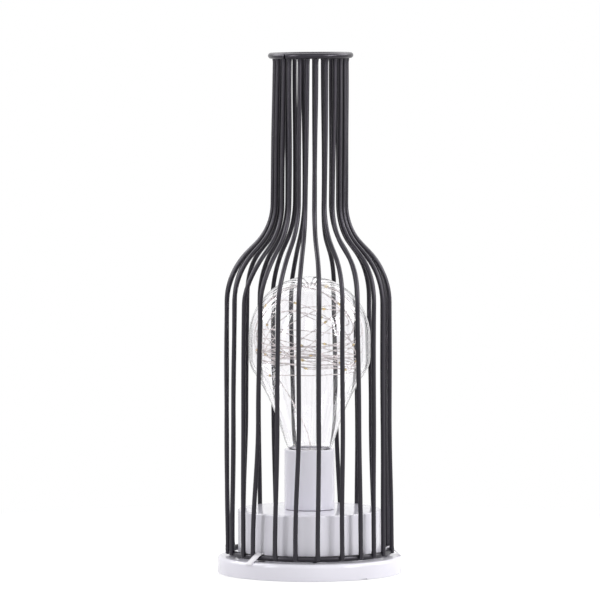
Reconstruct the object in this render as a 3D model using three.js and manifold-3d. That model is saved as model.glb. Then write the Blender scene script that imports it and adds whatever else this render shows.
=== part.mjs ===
// A battery lamp in the shape of a wire bottle: a welded cage of uprights between two rings stands on a
// round plastic base, and a clear bulb on a sleeve inside it holds a wound string of tiny lights.
// Millimetres, +Z up, standing on z = 0 with the axis on Z. Azimuth 0 is the front (-Y), 90 is +X.
import * as THREE from "three";
import { mergeVertices } from "three/addons/utils/BufferGeometryUtils.js";
import Module from "manifold-3d";

// Clearances.
const FIT = 0.3; // between pieces that touch
const RUN = 0.4; // round pieces that move

// Battery cells, lying side by side along X.
const CELL_D = 14.5;
const CELL_L = 49.5;
const CELL_NUB_D = 5.5;
const CELL_NUB_L = 1;
const CELL_COUNT = 3;
const CELL_GAP = 0.7;

// Battery tray, its contacts and springs.
const TRAY_WALL = 1.4;
const TRAY_ROOM = 0.6; // slack round the cells
const CONTACT_T = 0.5;
const CONTACT_W = 12;
const CONTACT_H = 13;
const TAB_W = 3;
const TAB_RISE = 3; // of a solder tab above the tray
const SPRING_L = 6.6;
const SPRING_WIRE_D = 0.8;
const SPRING_WIDE_D = 9;
const SPRING_NARROW_D = 5.6;
const SPRING_CURLS = 3;

// Base: flange and drum in one shell, with a cover let into its underside.
const FOOT_T = 1.5;
const FOOT_D = 10;
const FOOT_EDGE = 3; // from a foot to the cover's edge
const FEET = 3;
const RIM_LIFT = 0.4; // of the shell's rim above the surface
const SHELL_WALL = 2;
const COVER_T = 2.5;
const FLANGE_H = 10;
const FLANGE_MARGIN = 4; // of the flange round the cage
const FLANGE_EDGE_R = 2.3;
const DRUM_H = 37.8;
const DRUM_ROOM = 1.3; // between the tray's corners and the drum
const DRUM_EDGE_R = 1;
const POST_D = 5;
const POST_AZIMUTH = 66; // of the two posts that hold the tray down
const POST_PATH_R = 24;
const PRY_W = 4;
const PRY_H = 0.8;
const PRY_AZIMUTH = 36;

// Cover screws.
const SCREWS = 3;
const SCREW_D = 2.4;
const SCREW_L = 6;
const SCREW_HEAD_D = 4.6;
const SCREW_HEAD_T = 1.4;
const SCREW_SLOT_W = 0.7;
const SCREW_SLOT_DEPTH = 0.6;
const BOSS_D = 6.4;
const FIRST_SCREW = 30;

// Battery door, hinged on two stub pins along its -X edge.
const DOOR_T = 1.8;
const DOOR_LEDGE = 0.5; // of the cover inside the tray's walls
const BARREL_D = 2.6;
const PIN_D = 1.2;
const PIN_L = 1.6;
const FINGER_W = 10;
const FINGER_DEPTH = 2.5;

// Slide switch.
const SWITCH_L = 10;
const SWITCH_W = 6;
const SWITCH_H = 6;
const SWITCH_FLOOR = 1.2;
const SWITCH_OFF = 4; // from the tray
const SLIDER_L = 4;
const SLIDER_W = 3.8;
const SLIDER_T = 1.2;
const STEM_L = 2.4;
const STEM_W = 2;
const STEM_LIFT = 0.5; // of the thumb stem above the surface
const SWITCH_TRAVEL = 3;

// Cage of welded wire.
const UPRIGHTS = 24;
const WIRE_D = 2.8;
const FOOT_RING_D = 3.5;
const TOP_RING_D = 3.5;
const CAGE_GAP = 5.4; // between the drum and the uprights
const RING_LIFT = 0.85; // of the foot ring above the flange
const RING_INSET = 1.7; // of the foot ring inside the uprights
const CAGE_TOP_Z = 311.45;
const BODY_TAPER = 0.55;
const NECK_D = 47.1;
const NECK_FOOT_Z = 221.2;
const NECK_TAPER = 0.6;
const HOLLOW_R = 35; // of the wire where the neck flares out
const CROWN_R = 42; // of the wire where the shoulder turns down
const SHOULDER_SLOPE = 45;
const RING_ENDS_GAP = 0.5;
const RING_END_STEP = 0.8; // by which one end of a ring stands off the other
const RING_END_PART = 0.15; // of a ring, over which it does
const TOP_RING_OUT = 2.2; // of the top ring outside the uprights
const TOP_RING_TILT = 0.2;
const TOP_JOINT = -38;
const FOOT_JOINT = 38;
const CAGE_SWAY = 0.8; // to -X and back to +X, as the cage rises
const SWAY_LENGTH = 460; // of a whole wave

// How far each upright strays from its place round the cage, in degrees: at its foot, along its side, at the
// shoulder, half-way up it, at the neck's foot and at the mouth.
const STRAYS = [
  [
    -1.9, 0.4, 0.3, -2.2, -5.2, -0.6, 2.9, -2, 0.7, 1.9, -0.4, 0,
    2.5, 1.4, -0.8, 1, 1.2, -2.2, 3.9, -0.9, 0.3, -5, -1.8, -2.2,
  ],
  [
    -0.2, 1.6, 0.1, -0.9, -3.9, -3.4, 4.2, -1.5, 2.3, 0.7, 2.4, 0.1,
    3.6, 2.6, -0.1, -2.9, -2, -0.1, 1.5, 3.4, 1.1, 0.6, 0.8, 0.8,
  ],
  [
    -0.2, 1.6, -1.6, -0.2, -4.3, -2.6, 5, -0.8, 4.2, 0.8, 3.9, 0.1,
    4.8, 3.7, -1, -3.9, -3, -0.2, 1.1, 3.9, 1.9, 2, 1.2, 0.8,
  ],
  [
    0.1, 2.4, 1.2, 1.8, -3.8, -3.2, 5.8, -0.1, 3.9, 1.1, 2.9, 0.2,
    2.9, 2.3, -1.7, -1.2, -3.2, -2.9, 3.2, 3.8, 6.8, 5, 2.9, 1.5,
  ],
  [
    0.4, 1.5, 1.1, 2, -0.8, -2, 3.8, 0.4, 0.4, 0.9, -0.9, -1.2,
    -0.1, -0.4, -0.8, 1.2, 0.2, -3.1, 4.9, 4.2, 5.5, 5.3, 5.8, 1.3,
  ],
  [
    1.2, 2.6, 3.8, 2, 0.2, -0.3, 2.9, 1.2, 3.8, 2.6, 2.2, 1.6,
    3.7, 3.9, 2.3, 3, 2, -2.5, 6.1, 4.5, 6.3, 1.8, 5.1, 2.4,
  ],
];
const SIDE_STRAY_Z = 95; // where an upright has come to the stray of its side

// Tongues that hold the foot ring down.
const TONGUE_AZIMUTHS = [-37.4, 90, 210];
const TONGUE_T = 0.7;
const TONGUE_W = 4.8;
const TONGUE_TIP_W = 4.4;
const TONGUE_ANCHOR = 1.8; // of its anchor past the stem
const TONGUE_TIP_IN = 0.4; // from its tip to the flange's edge
const TONGUE_TIP_DROP = 0.1; // of its tip below the flange's top

// Sleeve and bulb.
const SLEEVE_D = 30;
const SLEEVE_L = 35.9;
const SLEEVE_WALL = 2.5;
const SLEEVE_EDGE_R = 0.6;
const SPIGOT_D = 26.8;
const SPIGOT_WALL = 1.8;
const LIP_H = 1.7;
const LIP_REACH = 0.8;
const PLUG_L = 14;
const BULB_H = 103.4; // above the sleeve
const BULB_WALL = 1.2;
const GLOBE_D = 72.8;
const BELT_H = 12;
const HAUNCH_R = 15;
const HAUNCH_SLOPE = 35;
const THROAT_D = 29.8;
const THROAT_H = 5;
const THROAT_SLOPE = 17;
const STOPPER_T = 4;
const STOPPER_HOLE_D = 2.4;
const STOPPER_IN = 0.8; // below the sleeve's top

// Light string, wound about a point inside the globe.
const STRING_D = 0.7;
const STRING_ROOM = 0.5; // between the winding and the bulb's wall
const STRING_TAIL = 5; // below the plug
const LED_D = 1.7;
const LED_L = 4;
const LED_PITCH = 118;
const LED_FIRST = 95;
const WINDING_START = 125; // azimuth where the winding meets its lead
const WINDING_PHASE = 34;
const PRECESSION = 0.21; // of a slanting loop's slant, in turns a turn
const SLANT_FROM = 6; // turns
const SLANT_TURNS = 4.6;
const WINDING_TURNS = 14.5;
const WINDING_STEPS = 18; // a turn
// The winding's keys: at each turn, its mean latitude and swing in degrees, and its depth under the wall as a
// part of its radius.
const MEAN_KEYS = [[0, -50], [0.6, -32], [6, -14], [6.8, 7], [10.4, 9], [11, 58], [14.5, 72]];
const SWING_KEYS = [[0, 5], [6, 6], [6.8, 34], [10.2, 34], [11, 3], [14.5, 3]];
const DEPTH_KEYS = [[0, 0], [5.4, 0.047], [6.4, 0.093], [10.4, 0.24], [11, 0.058], [14.5, 0.03]];

// Leads and the resistor, inside the base.
const LEAD_D = 1.4;
const LEAD_SPREAD = 1; // of each lead from the string
const RESISTOR_D = 2.4;
const RESISTOR_L = 6.5;
const RESISTOR_LEG_D = 0.7;
const RESISTOR_LEG_L = 7;

// Smoothness.
const ROUND = 36; // facets round the base
const BULB_ROUND = 28; // round the bulb and its sleeve
const SMALL_ROUND = 14; // round small rods
const WIRE_SIDES = 6;
const RING_STEPS = 36;
const SHOULDER_STEPS = 5; // along each arc of the cage's shoulder
const EDGE_STEPS = 3; // along a rounded edge
const CONE_STEPS = 5;
const GLOBE_STEPS = 8;
const TONGUE_STEPS = 8;
const WINDING_SIDES = 5; // of the string and the springs
const CURL_STEPS = 8; // a curl of a spring
const RISE_STEPS = 12; // along the string's lead
const FINE_STEPS = 6; // between two sections of the winding, to measure along it
const WELD = 1e-3; // vertices nearer than this are one

// Places worked out from the sizes.
const rad = THREE.MathUtils.degToRad;
const CELL_PITCH = CELL_D + CELL_GAP;
const COVER_Z = FOOT_T;
const COVER_TOP_Z = COVER_Z + COVER_T;
const CELL_Z = COVER_TOP_Z + TRAY_ROOM + CELL_D / 2;
const TRAY_CEILING_Z = CELL_Z + CELL_D / 2 + TRAY_ROOM;
const TRAY_TOP_Z = TRAY_CEILING_Z + TRAY_WALL;
const CONTACT_ROOM = FIT + CONTACT_T + FIT;
const TRAY_IN_X = (CELL_L + CELL_NUB_L + SPRING_L + FIT + 2 * CONTACT_ROOM) / 2;
const TRAY_IN_Y = ((CELL_COUNT - 1) * CELL_PITCH + CELL_D) / 2 + TRAY_ROOM;
const TRAY_X = TRAY_IN_X + TRAY_WALL;
const TRAY_Y = TRAY_IN_Y + TRAY_WALL;
const DRUM_IN_R = Math.hypot(TRAY_X, TRAY_Y) + DRUM_ROOM;
const DRUM_R = DRUM_IN_R + SHELL_WALL;
const CAGE_R = DRUM_R + CAGE_GAP + WIRE_D / 2;
const FOOT_RING_R = CAGE_R - RING_INSET;
const FOOT_RING_Z = FLANGE_H + RING_LIFT + FOOT_RING_D / 2;
const UPRIGHT_Z = FOOT_RING_Z + FOOT_RING_D / 2 + FIT;
const TONGUE_WRAP_R = FOOT_RING_D / 2 + FIT + TONGUE_T / 2;
const TONGUE_R = FOOT_RING_R - TONGUE_WRAP_R;
const FLANGE_R = CAGE_R + WIRE_D / 2 + FLANGE_MARGIN;
const FLANGE_IN_R = FLANGE_R - SHELL_WALL;
const COVER_R = FLANGE_IN_R - FIT;
const SCREW_PATH_R = (DRUM_R + FLANGE_IN_R) / 2;
const FOOT_PATH_R = COVER_R - FOOT_EDGE - FOOT_D / 2;
const NECK_R = NECK_D / 2 - WIRE_D / 2;
const MOUTH_R = NECK_R - NECK_TAPER;
const TOP_RING_R = MOUTH_R + TOP_RING_OUT;
const TOP_RING_Z = CAGE_TOP_Z - TOP_RING_D / 2 - TOP_RING_TILT;
const UPRIGHT_TOP_Z = TOP_RING_Z - TOP_RING_D / 2 - FIT;
const SLEEVE_R = SLEEVE_D / 2;
const SLEEVE_Z = DRUM_H + FIT;
const SLEEVE_TOP_Z = SLEEVE_Z + SLEEVE_L;
const BORE_R = SLEEVE_R - SLEEVE_WALL;
const PLUG_R = BORE_R - FIT;
const PLUG_Z = SLEEVE_TOP_Z - PLUG_L;
const STOPPER_Z = SLEEVE_TOP_Z - STOPPER_IN - STOPPER_T;
const BULB_TOP_Z = SLEEVE_TOP_Z + BULB_H;
const GLOBE_R = GLOBE_D / 2;
const GLOBE_Z = BULB_TOP_Z - GLOBE_R;
const WINDING_R = GLOBE_R - BULB_WALL - STRING_ROOM - STRING_D / 2;
const STRING_Z = PLUG_Z - STRING_TAIL;
const SWITCH_Y = TRAY_Y + SWITCH_OFF + SWITCH_W / 2;
const SWITCH_Z = COVER_TOP_Z + FIT;
const DOOR_X = TRAY_IN_X - DOOR_LEDGE - RUN;
const DOOR_Y = TRAY_IN_Y - DOOR_LEDGE - RUN;
const HINGE_X = -(DOOR_X - BARREL_D / 2);
const HINGE_Z = COVER_Z + BARREL_D / 2;

const wasm = await Module();
wasm.setup();

// Geometry helpers.

// The point at a radius and a height, at an azimuth.
function polar(radius, azimuth, z) {
  return new THREE.Vector3(radius * Math.sin(rad(azimuth)), -radius * Math.cos(rad(azimuth)), z);
}

// The turn about Z that takes a piece drawn towards +X to an azimuth.
function facing(azimuth) {
  return rad(azimuth - 90);
}

function toSolid(geometry) {
  const loose = geometry.index ? geometry.toNonIndexed() : geometry;
  const bare = new THREE.BufferGeometry();
  bare.setAttribute("position", loose.getAttribute("position"));
  const merged = mergeVertices(bare, WELD);
  return new wasm.Manifold(
    new wasm.Mesh({
      numProp: 3,
      vertProperties: merged.getAttribute("position").array,
      triVerts: new Uint32Array(merged.index.array),
    }),
  );
}

function fromSolid(solid) {
  const mesh = solid.getMesh();
  const geometry = new THREE.BufferGeometry();
  geometry.setAttribute("position", new THREE.BufferAttribute(mesh.vertProperties, mesh.numProp));
  geometry.setIndex(new THREE.BufferAttribute(mesh.triVerts, 1));
  return geometry;
}

function join(...pieces) {
  return fromSolid(pieces.map(toSolid).reduce((whole, piece) => whole.add(piece)));
}

function cut(body, ...tools) {
  return fromSolid(tools.map(toSolid).reduce((whole, tool) => whole.subtract(tool), toSolid(body)));
}

function common(first, second) {
  return fromSolid(toSolid(first).intersect(toSolid(second)));
}

// A block between two corners.
function block(x0, x1, y0, y1, z0, z1) {
  const shape = new THREE.BoxGeometry(x1 - x0, y1 - y0, z1 - z0);
  return shape.translate((x0 + x1) / 2, (y0 + y1) / 2, (z0 + z1) / 2);
}

// An upright cylinder between two heights.
function rod(diameter, z0, z1, x = 0, y = 0) {
  const shape = new THREE.CylinderGeometry(diameter / 2, diameter / 2, z1 - z0, SMALL_ROUND);
  return shape.rotateX(Math.PI / 2).translate(x, y, (z0 + z1) / 2);
}

// A solid of revolution about Z. Its profile of [radius, height] runs up the outside and down the inside.
function turned(profile, facets = ROUND) {
  const points = profile.map(([radius, height]) => new THREE.Vector2(radius, height));
  return new THREE.LatheGeometry(points, facets).rotateX(Math.PI / 2);
}

// Points of an arc in a profile, from one angle to another in degrees.
function arc(radius, height, r, from, to, steps = EDGE_STEPS) {
  const points = [];
  for (let i = 0; i <= steps; i++) {
    const angle = rad(THREE.MathUtils.lerp(from, to, i / steps));
    points.push([radius + r * Math.cos(angle), height + r * Math.sin(angle)]);
  }
  return points;
}

// A smooth curve with a section at each of its points.
function route(points) {
  const curve = new THREE.CatmullRomCurve3(points);
  curve.getUtoTmapping = (u) => u;
  return curve;
}

// A round wire through points.
function wire(points, diameter, sides = WIRE_SIDES) {
  const section = new THREE.Shape();
  for (let i = 0; i < sides; i++) {
    const angle = (2 * Math.PI * i) / sides;
    const corner = [(diameter / 2) * Math.cos(angle), (diameter / 2) * Math.sin(angle)];
    if (i === 0) section.moveTo(...corner);
    else section.lineTo(...corner);
  }
  return new THREE.ExtrudeGeometry(section, {
    steps: points.length - 1,
    bevelEnabled: false,
    extrudePath: route(points),
  });
}

// A wound tube through points, with a radius of its own at each, joined ring by ring and closed at its ends.
function windingTube(points, radii, sides = WINDING_SIDES) {
  const frames = route(points).computeFrenetFrames(points.length - 1, false);
  const corners = [];
  const faces = [];
  points.forEach((point, i) => {
    for (let k = 0; k < sides; k++) {
      const angle = (2 * Math.PI * k) / sides;
      const corner = point.clone();
      corner.addScaledVector(frames.normals[i], radii[i] * Math.cos(angle));
      corner.addScaledVector(frames.binormals[i], radii[i] * Math.sin(angle));
      corners.push(corner);
    }
  });
  for (let i = 0; i + 1 < points.length; i++) {
    for (let k = 0; k < sides; k++) {
      const a = i * sides + k;
      const b = i * sides + ((k + 1) % sides);
      faces.push(a, b, b + sides, a, b + sides, a + sides);
    }
  }
  const last = corners.length - sides;
  for (let k = 1; k + 1 < sides; k++) {
    faces.push(0, k + 1, k, last, last + k, last + k + 1);
  }
  return new THREE.BufferGeometry().setFromPoints(corners).setIndex(faces);
}

// The least gap of a wound tube to itself, between points further apart along it than it is thick.
function leastGap(points, radii, apart) {
  let least = Infinity;
  const along = [0];
  for (let i = 1; i < points.length; i++) {
    along.push(along[i - 1] + points[i].distanceTo(points[i - 1]));
  }
  for (let i = 0; i < points.length; i++) {
    for (let j = i + 1; j < points.length; j++) {
      if (along[j] - along[i] > apart) {
        least = Math.min(least, points[i].distanceTo(points[j]) - radii[i] - radii[j]);
      }
    }
  }
  return least;
}

// A value between keys of [turn, value].
function keyed(keys, turn) {
  const next = keys.findIndex(([at]) => at >= turn);
  if (next === 0) return keys[0][1];
  if (next < 0) return keys.at(-1)[1];
  const [from, low] = keys[next - 1];
  const [to, high] = keys[next];
  return THREE.MathUtils.mapLinear(turn, from, to, low, high);
}

// Materials.
function paint(color, roughness, metalness = 0) {
  return new THREE.MeshStandardMaterial({ color, roughness, metalness });
}

const BLACK_COAT = paint(0x2b2b2d, 0.45, 0.3);
const WHITE_GLOSS = paint(0xeceaf0, 0.25);
const WHITE_NYLON = paint(0xf0f0ee, 0.4);
const CLEAR = new THREE.MeshStandardMaterial({
  color: 0xf6f7f8,
  roughness: 0.05,
  transparent: true,
  opacity: 0.25,
});
const STRING_WIRE = paint(0xa89f92, 0.35, 0.8);
const BRIGHT_STEEL = paint(0xc4c6c8, 0.3, 1);
const CELL_JACKET = paint(0x3c4a56, 0.4, 0.2);
const DARK_PLASTIC = paint(0x222224, 0.5);
const RED_SHEATH = paint(0xb32a22, 0.5);
const BLACK_SHEATH = paint(0x1b1b1c, 0.5);
const BEIGE_LACQUER = paint(0xcdb48a, 0.5);
const GREY_RUBBER = paint(0xb9b9bb, 0.9);

const lamp = new THREE.Group();

function add(name, geometry, material, parent = lamp) {
  const mesh = new THREE.Mesh(geometry, material);
  mesh.name = name;
  parent.add(mesh);
  return mesh;
}

// Cage.

// The side of the bottle as the wire's centre follows it, from the foot up: [radius, height].
function bottleSide() {
  const shoulderR = CAGE_R - BODY_TAPER;
  const turn = 1 - Math.cos(rad(SHOULDER_SLOPE));
  const drop = Math.sin(rad(SHOULDER_SLOPE));
  const slant = (shoulderR - NECK_R - (HOLLOW_R + CROWN_R) * turn) / Math.tan(rad(SHOULDER_SLOPE));
  const crownZ = NECK_FOOT_Z - (HOLLOW_R + CROWN_R) * drop - slant;
  return [
    [CAGE_R, UPRIGHT_Z],
    [CAGE_R - BODY_TAPER / 4, THREE.MathUtils.lerp(UPRIGHT_Z, SIDE_STRAY_Z, 0.5)],
    [CAGE_R - BODY_TAPER / 2, SIDE_STRAY_Z],
    ...arc(shoulderR - CROWN_R, crownZ, CROWN_R, 0, SHOULDER_SLOPE, SHOULDER_STEPS),
    ...arc(NECK_R + HOLLOW_R, NECK_FOOT_Z, HOLLOW_R, 180 + SHOULDER_SLOPE, 180, SHOULDER_STEPS),
    [NECK_R - NECK_TAPER / 4, (NECK_FOOT_Z + UPRIGHT_TOP_Z) / 2],
    [MOUTH_R, UPRIGHT_TOP_Z],
  ];
}

const SIDE = bottleSide();
const SHOULDER_Z = SIDE[3][1];
const STRAY_LEVELS = [
  UPRIGHT_Z,
  SIDE_STRAY_Z,
  SHOULDER_Z,
  (SHOULDER_Z + NECK_FOOT_Z) / 2,
  NECK_FOOT_Z,
  UPRIGHT_TOP_Z,
];

// How far the whole cage sways aside at a height.
function sway(z) {
  return -CAGE_SWAY * Math.sin((2 * Math.PI * (z - FLANGE_H)) / SWAY_LENGTH);
}

// How far an upright strays at a height, eased from each level to the next.
function strayAt(index, z) {
  const strays = STRAYS.map((level) => level[index % level.length]);
  return strays.reduce((stray, next, i) => {
    const part = THREE.MathUtils.smoothstep(z, STRAY_LEVELS[i - 1], STRAY_LEVELS[i]);
    return stray + (next - strays[i - 1]) * part;
  });
}

// An upright follows the bottle's side with its strays, and its top follows the tilt of the ring over it.
function upright(index) {
  const home = (360 / UPRIGHTS) * (index + 0.5);
  const tilt = TOP_RING_TILT * Math.sin(rad(home));
  const points = SIDE.map(([radius, z]) => {
    const rise = tilt * THREE.MathUtils.smoothstep(z, NECK_FOOT_Z, UPRIGHT_TOP_Z);
    return polar(radius, home + strayAt(index, z), z + rise).add(new THREE.Vector3(sway(z), 0, 0));
  });
  return wire(points, WIRE_D);
}

for (let i = 0; i < UPRIGHTS; i++) {
  add(`cage_upright_${String(i + 1).padStart(2, "0")}`, upright(i), BLACK_COAT);
}

// A ring bent from wire, whose last part swings out or in so that its two ends meet with a step.
function bentRing(radius, z, tilt, joint, diameter, step) {
  const open = THREE.MathUtils.radToDeg(RING_ENDS_GAP / radius);
  const points = [];
  for (let i = 0; i <= RING_STEPS; i++) {
    const part = i / RING_STEPS;
    const azimuth = joint + open / 2 + (360 - open) * part;
    const swing = step * THREE.MathUtils.smoothstep(part, 1 - RING_END_PART, 1);
    points.push(polar(radius + swing, azimuth, z + tilt * Math.sin(rad(azimuth))));
  }
  return wire(points, diameter).translate(sway(z), 0, 0);
}

// The uprights stand on the foot ring and end under the top ring.
const topRing = bentRing(TOP_RING_R, TOP_RING_Z, TOP_RING_TILT, TOP_JOINT, TOP_RING_D, RING_END_STEP);
const footRing = bentRing(FOOT_RING_R, FOOT_RING_Z, 0, FOOT_JOINT, FOOT_RING_D, -RING_END_STEP);
add("cage_top_ring", topRing, BLACK_COAT);
add("cage_foot_ring", footRing, BLACK_COAT);

// Base.

// The slot in the flange that a tongue's stem passes through.
function tongueSlot(azimuth) {
  const half = TONGUE_T / 2 + FIT;
  const side = TONGUE_W / 2 + FIT;
  const slot = block(TONGUE_R - half, TONGUE_R + half, -side, side, 0, FLANGE_H + FIT);
  return slot.rotateZ(facing(azimuth));
}

function baseShell() {
  const flangeTop = FLANGE_H - SHELL_WALL;
  const drumTop = DRUM_H - SHELL_WALL;
  const hole = SPIGOT_D / 2 + FIT;
  const profile = [
    [FLANGE_IN_R, RIM_LIFT],
    [FLANGE_R, RIM_LIFT],
    ...arc(FLANGE_R - FLANGE_EDGE_R, FLANGE_H - FLANGE_EDGE_R, FLANGE_EDGE_R, 0, 90),
    [DRUM_R, FLANGE_H],
    ...arc(DRUM_R - DRUM_EDGE_R, DRUM_H - DRUM_EDGE_R, DRUM_EDGE_R, 0, 90),
    [hole, DRUM_H],
    [hole, drumTop],
    [DRUM_IN_R, drumTop],
    [DRUM_IN_R, flangeTop],
    [FLANGE_IN_R, flangeTop],
    [FLANGE_IN_R, RIM_LIFT],
  ];
  const added = [];
  const tools = TONGUE_AZIMUTHS.map(tongueSlot);
  for (let i = 0; i < SCREWS; i++) {
    const { x, y } = polar(SCREW_PATH_R, FIRST_SCREW + (360 / SCREWS) * i, 0);
    added.push(rod(BOSS_D, COVER_TOP_Z + FIT, FLANGE_H - SHELL_WALL / 2, x, y));
    tools.push(rod(SCREW_D + 2 * FIT, COVER_TOP_Z, COVER_Z + SCREW_HEAD_T + SCREW_L + FIT, x, y));
  }
  for (const azimuth of [POST_AZIMUTH, POST_AZIMUTH + 180]) {
    const { x, y } = polar(POST_PATH_R, azimuth, 0);
    added.push(rod(POST_D, TRAY_TOP_Z + FIT, DRUM_H - SHELL_WALL / 2, x, y));
  }
  const pry = block(FLANGE_R - SHELL_WALL / 2, FLANGE_R + PRY_W, -PRY_W / 2, PRY_W / 2, 0, RIM_LIFT + PRY_H);
  tools.push(pry.rotateZ(facing(PRY_AZIMUTH)));
  return cut(join(turned(profile), ...added), ...tools);
}

add("base_shell", baseShell(), WHITE_GLOSS);

const STEM_SLOT_X = (STEM_L + SWITCH_TRAVEL) / 2 + RUN;
const STEM_SLOT_Y = STEM_W / 2 + RUN;

function stemSlot(z0, z1) {
  return block(-STEM_SLOT_X, STEM_SLOT_X, SWITCH_Y - STEM_SLOT_Y, SWITCH_Y + STEM_SLOT_Y, z0, z1);
}

function bottomCover() {
  const disc = turned([[0, COVER_Z], [COVER_R, COVER_Z], [COVER_R, COVER_TOP_Z], [0, COVER_TOP_Z]]);
  const below = COVER_Z - FIT;
  const above = COVER_TOP_Z + FIT;
  const doorX = DOOR_X + RUN;
  const doorY = DOOR_Y + RUN;
  const notch = PIN_D / 2 + RUN / 2;
  const pinReach = DOOR_Y + PIN_L + RUN;
  const tools = [
    block(-doorX, doorX, -doorY, doorY, below, above),
    block(HINGE_X - notch, HINGE_X + notch, -pinReach, pinReach, HINGE_Z - notch, above),
    stemSlot(below, above),
  ];
  for (let i = 0; i < SCREWS; i++) {
    const { x, y } = polar(SCREW_PATH_R, FIRST_SCREW + (360 / SCREWS) * i, 0);
    tools.push(rod(SCREW_D + 2 * FIT, below, above, x, y));
    tools.push(rod(SCREW_HEAD_D + 2 * FIT, below, COVER_Z + SCREW_HEAD_T + FIT, x, y));
  }
  return cut(disc, ...tools);
}

add("bottom_cover", bottomCover(), WHITE_GLOSS);

function batteryDoor() {
  const plate = block(HINGE_X, DOOR_X, -DOOR_Y, DOOR_Y, COVER_Z, COVER_Z + DOOR_T);
  const barrel = rod(BARREL_D, -DOOR_Y, DOOR_Y);
  const pinEnd = DOOR_Y + PIN_L;
  const pin = rod(PIN_D, -pinEnd, pinEnd);
  const edge = join(barrel, pin).rotateX(Math.PI / 2).translate(HINGE_X, 0, HINGE_Z);
  const flat = block(HINGE_X - BARREL_D, DOOR_X, -pinEnd, pinEnd, COVER_Z, HINGE_Z + BARREL_D);
  const finger = block(DOOR_X - FINGER_DEPTH, DOOR_X + FIT, -FINGER_W / 2, FINGER_W / 2, 0, COVER_TOP_Z);
  return cut(common(join(plate, edge), flat), finger);
}

add("battery_door", batteryDoor(), WHITE_GLOSS);

// Where a cell lies: its place across the tray, and the way its nub points along X.
function cellPlace(index) {
  return { y: (index - (CELL_COUNT - 1) / 2) * CELL_PITCH, way: index % 2 === 0 ? -1 : 1 };
}

const FIRST = cellPlace(0);
const LAST = cellPlace(CELL_COUNT - 1);
const CONTACT_X = TRAY_IN_X - FIT - CONTACT_T; // inner face of a contact
const NEGATIVE_X = -FIRST.way * CONTACT_X;
const POSITIVE_X = LAST.way * CONTACT_X;

// The slot in the tray's roof that a contact's tab comes up through.
function tabSlot(inner, y) {
  const x = inner + Math.sign(inner) * (CONTACT_T / 2);
  const half = CONTACT_T / 2 + FIT;
  const side = TAB_W / 2 + FIT;
  return block(x - half, x + half, y - side, y + side, TRAY_CEILING_Z - FIT, TRAY_TOP_Z + FIT);
}

function batteryTray() {
  const outside = block(-TRAY_X, TRAY_X, -TRAY_Y, TRAY_Y, COVER_TOP_Z, TRAY_TOP_Z);
  const inside = block(-TRAY_IN_X, TRAY_IN_X, -TRAY_IN_Y, TRAY_IN_Y, 0, TRAY_CEILING_Z);
  return cut(outside, inside, tabSlot(NEGATIVE_X, FIRST.y), tabSlot(POSITIVE_X, LAST.y));
}

add("battery_tray", batteryTray(), WHITE_GLOSS);

function cell() {
  const nub = CELL_NUB_D / 2;
  const can = [[0, 0], [CELL_D / 2, 0], [CELL_D / 2, CELL_L], [nub, CELL_L]];
  return turned([...can, [nub, CELL_L + CELL_NUB_L], [0, CELL_L + CELL_NUB_L]], SMALL_ROUND);
}

// A conical spring along Z with straight ends, from its wide curl at z = 0 up to its narrow one.
function springPoints() {
  const steps = CURL_STEPS * SPRING_CURLS;
  const points = [new THREE.Vector3(SPRING_WIDE_D / 2 - SPRING_WIRE_D / 2, 0, 0)];
  for (let i = 0; i <= steps; i++) {
    const part = i / steps;
    const mean = (THREE.MathUtils.lerp(SPRING_WIDE_D, SPRING_NARROW_D, part) - SPRING_WIRE_D) / 2;
    const angle = 2 * Math.PI * SPRING_CURLS * part;
    const z = THREE.MathUtils.lerp(SPRING_WIRE_D, SPRING_L - SPRING_WIRE_D, part);
    points.push(new THREE.Vector3(mean * Math.cos(angle), mean * Math.sin(angle), z));
  }
  points.push(points.at(-1).clone().setZ(SPRING_L));
  return points;
}

const SPRING_POINTS = springPoints();
const SPRING_RADII = SPRING_POINTS.map(() => SPRING_WIRE_D / 2);
const SPRING_GAP = leastGap(SPRING_POINTS, SPRING_RADII, 4 * SPRING_WIRE_D);
console.log("battery spring: least gap to itself", SPRING_GAP.toFixed(2), "mm");

for (let i = 0; i < CELL_COUNT; i++) {
  const { y, way } = cellPlace(i);
  const bay = new THREE.Group();
  bay.position.set(0, y, CELL_Z);
  bay.rotation.y = (way * Math.PI) / 2;
  lamp.add(bay);
  const back = -CONTACT_X + FIT;
  add(`battery_cell_${i + 1}`, cell(), CELL_JACKET, bay).position.z = back + SPRING_L + FIT;
  const spring = windingTube(SPRING_POINTS, SPRING_RADII);
  add(`battery_spring_${i + 1}`, spring, BRIGHT_STEEL, bay).position.z = back;
}

// A contact plate on an end wall, between two places across the tray, with a solder tab if it has one.
function contact(inner, y0, y1, tab) {
  const outer = inner + Math.sign(inner) * CONTACT_T;
  const low = Math.min(inner, outer);
  const high = Math.max(inner, outer);
  const z0 = CELL_Z - CONTACT_H / 2;
  const plate = block(low, high, y0 - CONTACT_W / 2, y1 + CONTACT_W / 2, z0, z0 + CONTACT_H);
  if (!tab) return plate;
  return join(plate, block(low, high, y0 - TAB_W / 2, y0 + TAB_W / 2, CELL_Z, TRAY_TOP_Z + TAB_RISE));
}

add("contact_negative", contact(NEGATIVE_X, FIRST.y, FIRST.y, true), BRIGHT_STEEL);
add("contact_positive", contact(POSITIVE_X, LAST.y, LAST.y, true), BRIGHT_STEEL);
for (let i = 0; i + 1 < CELL_COUNT; i++) {
  const here = cellPlace(i);
  const link = contact(here.way * CONTACT_X, here.y, here.y + CELL_PITCH, false);
  add(`contact_link_${i + 1}`, link, BRIGHT_STEEL);
}

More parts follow.
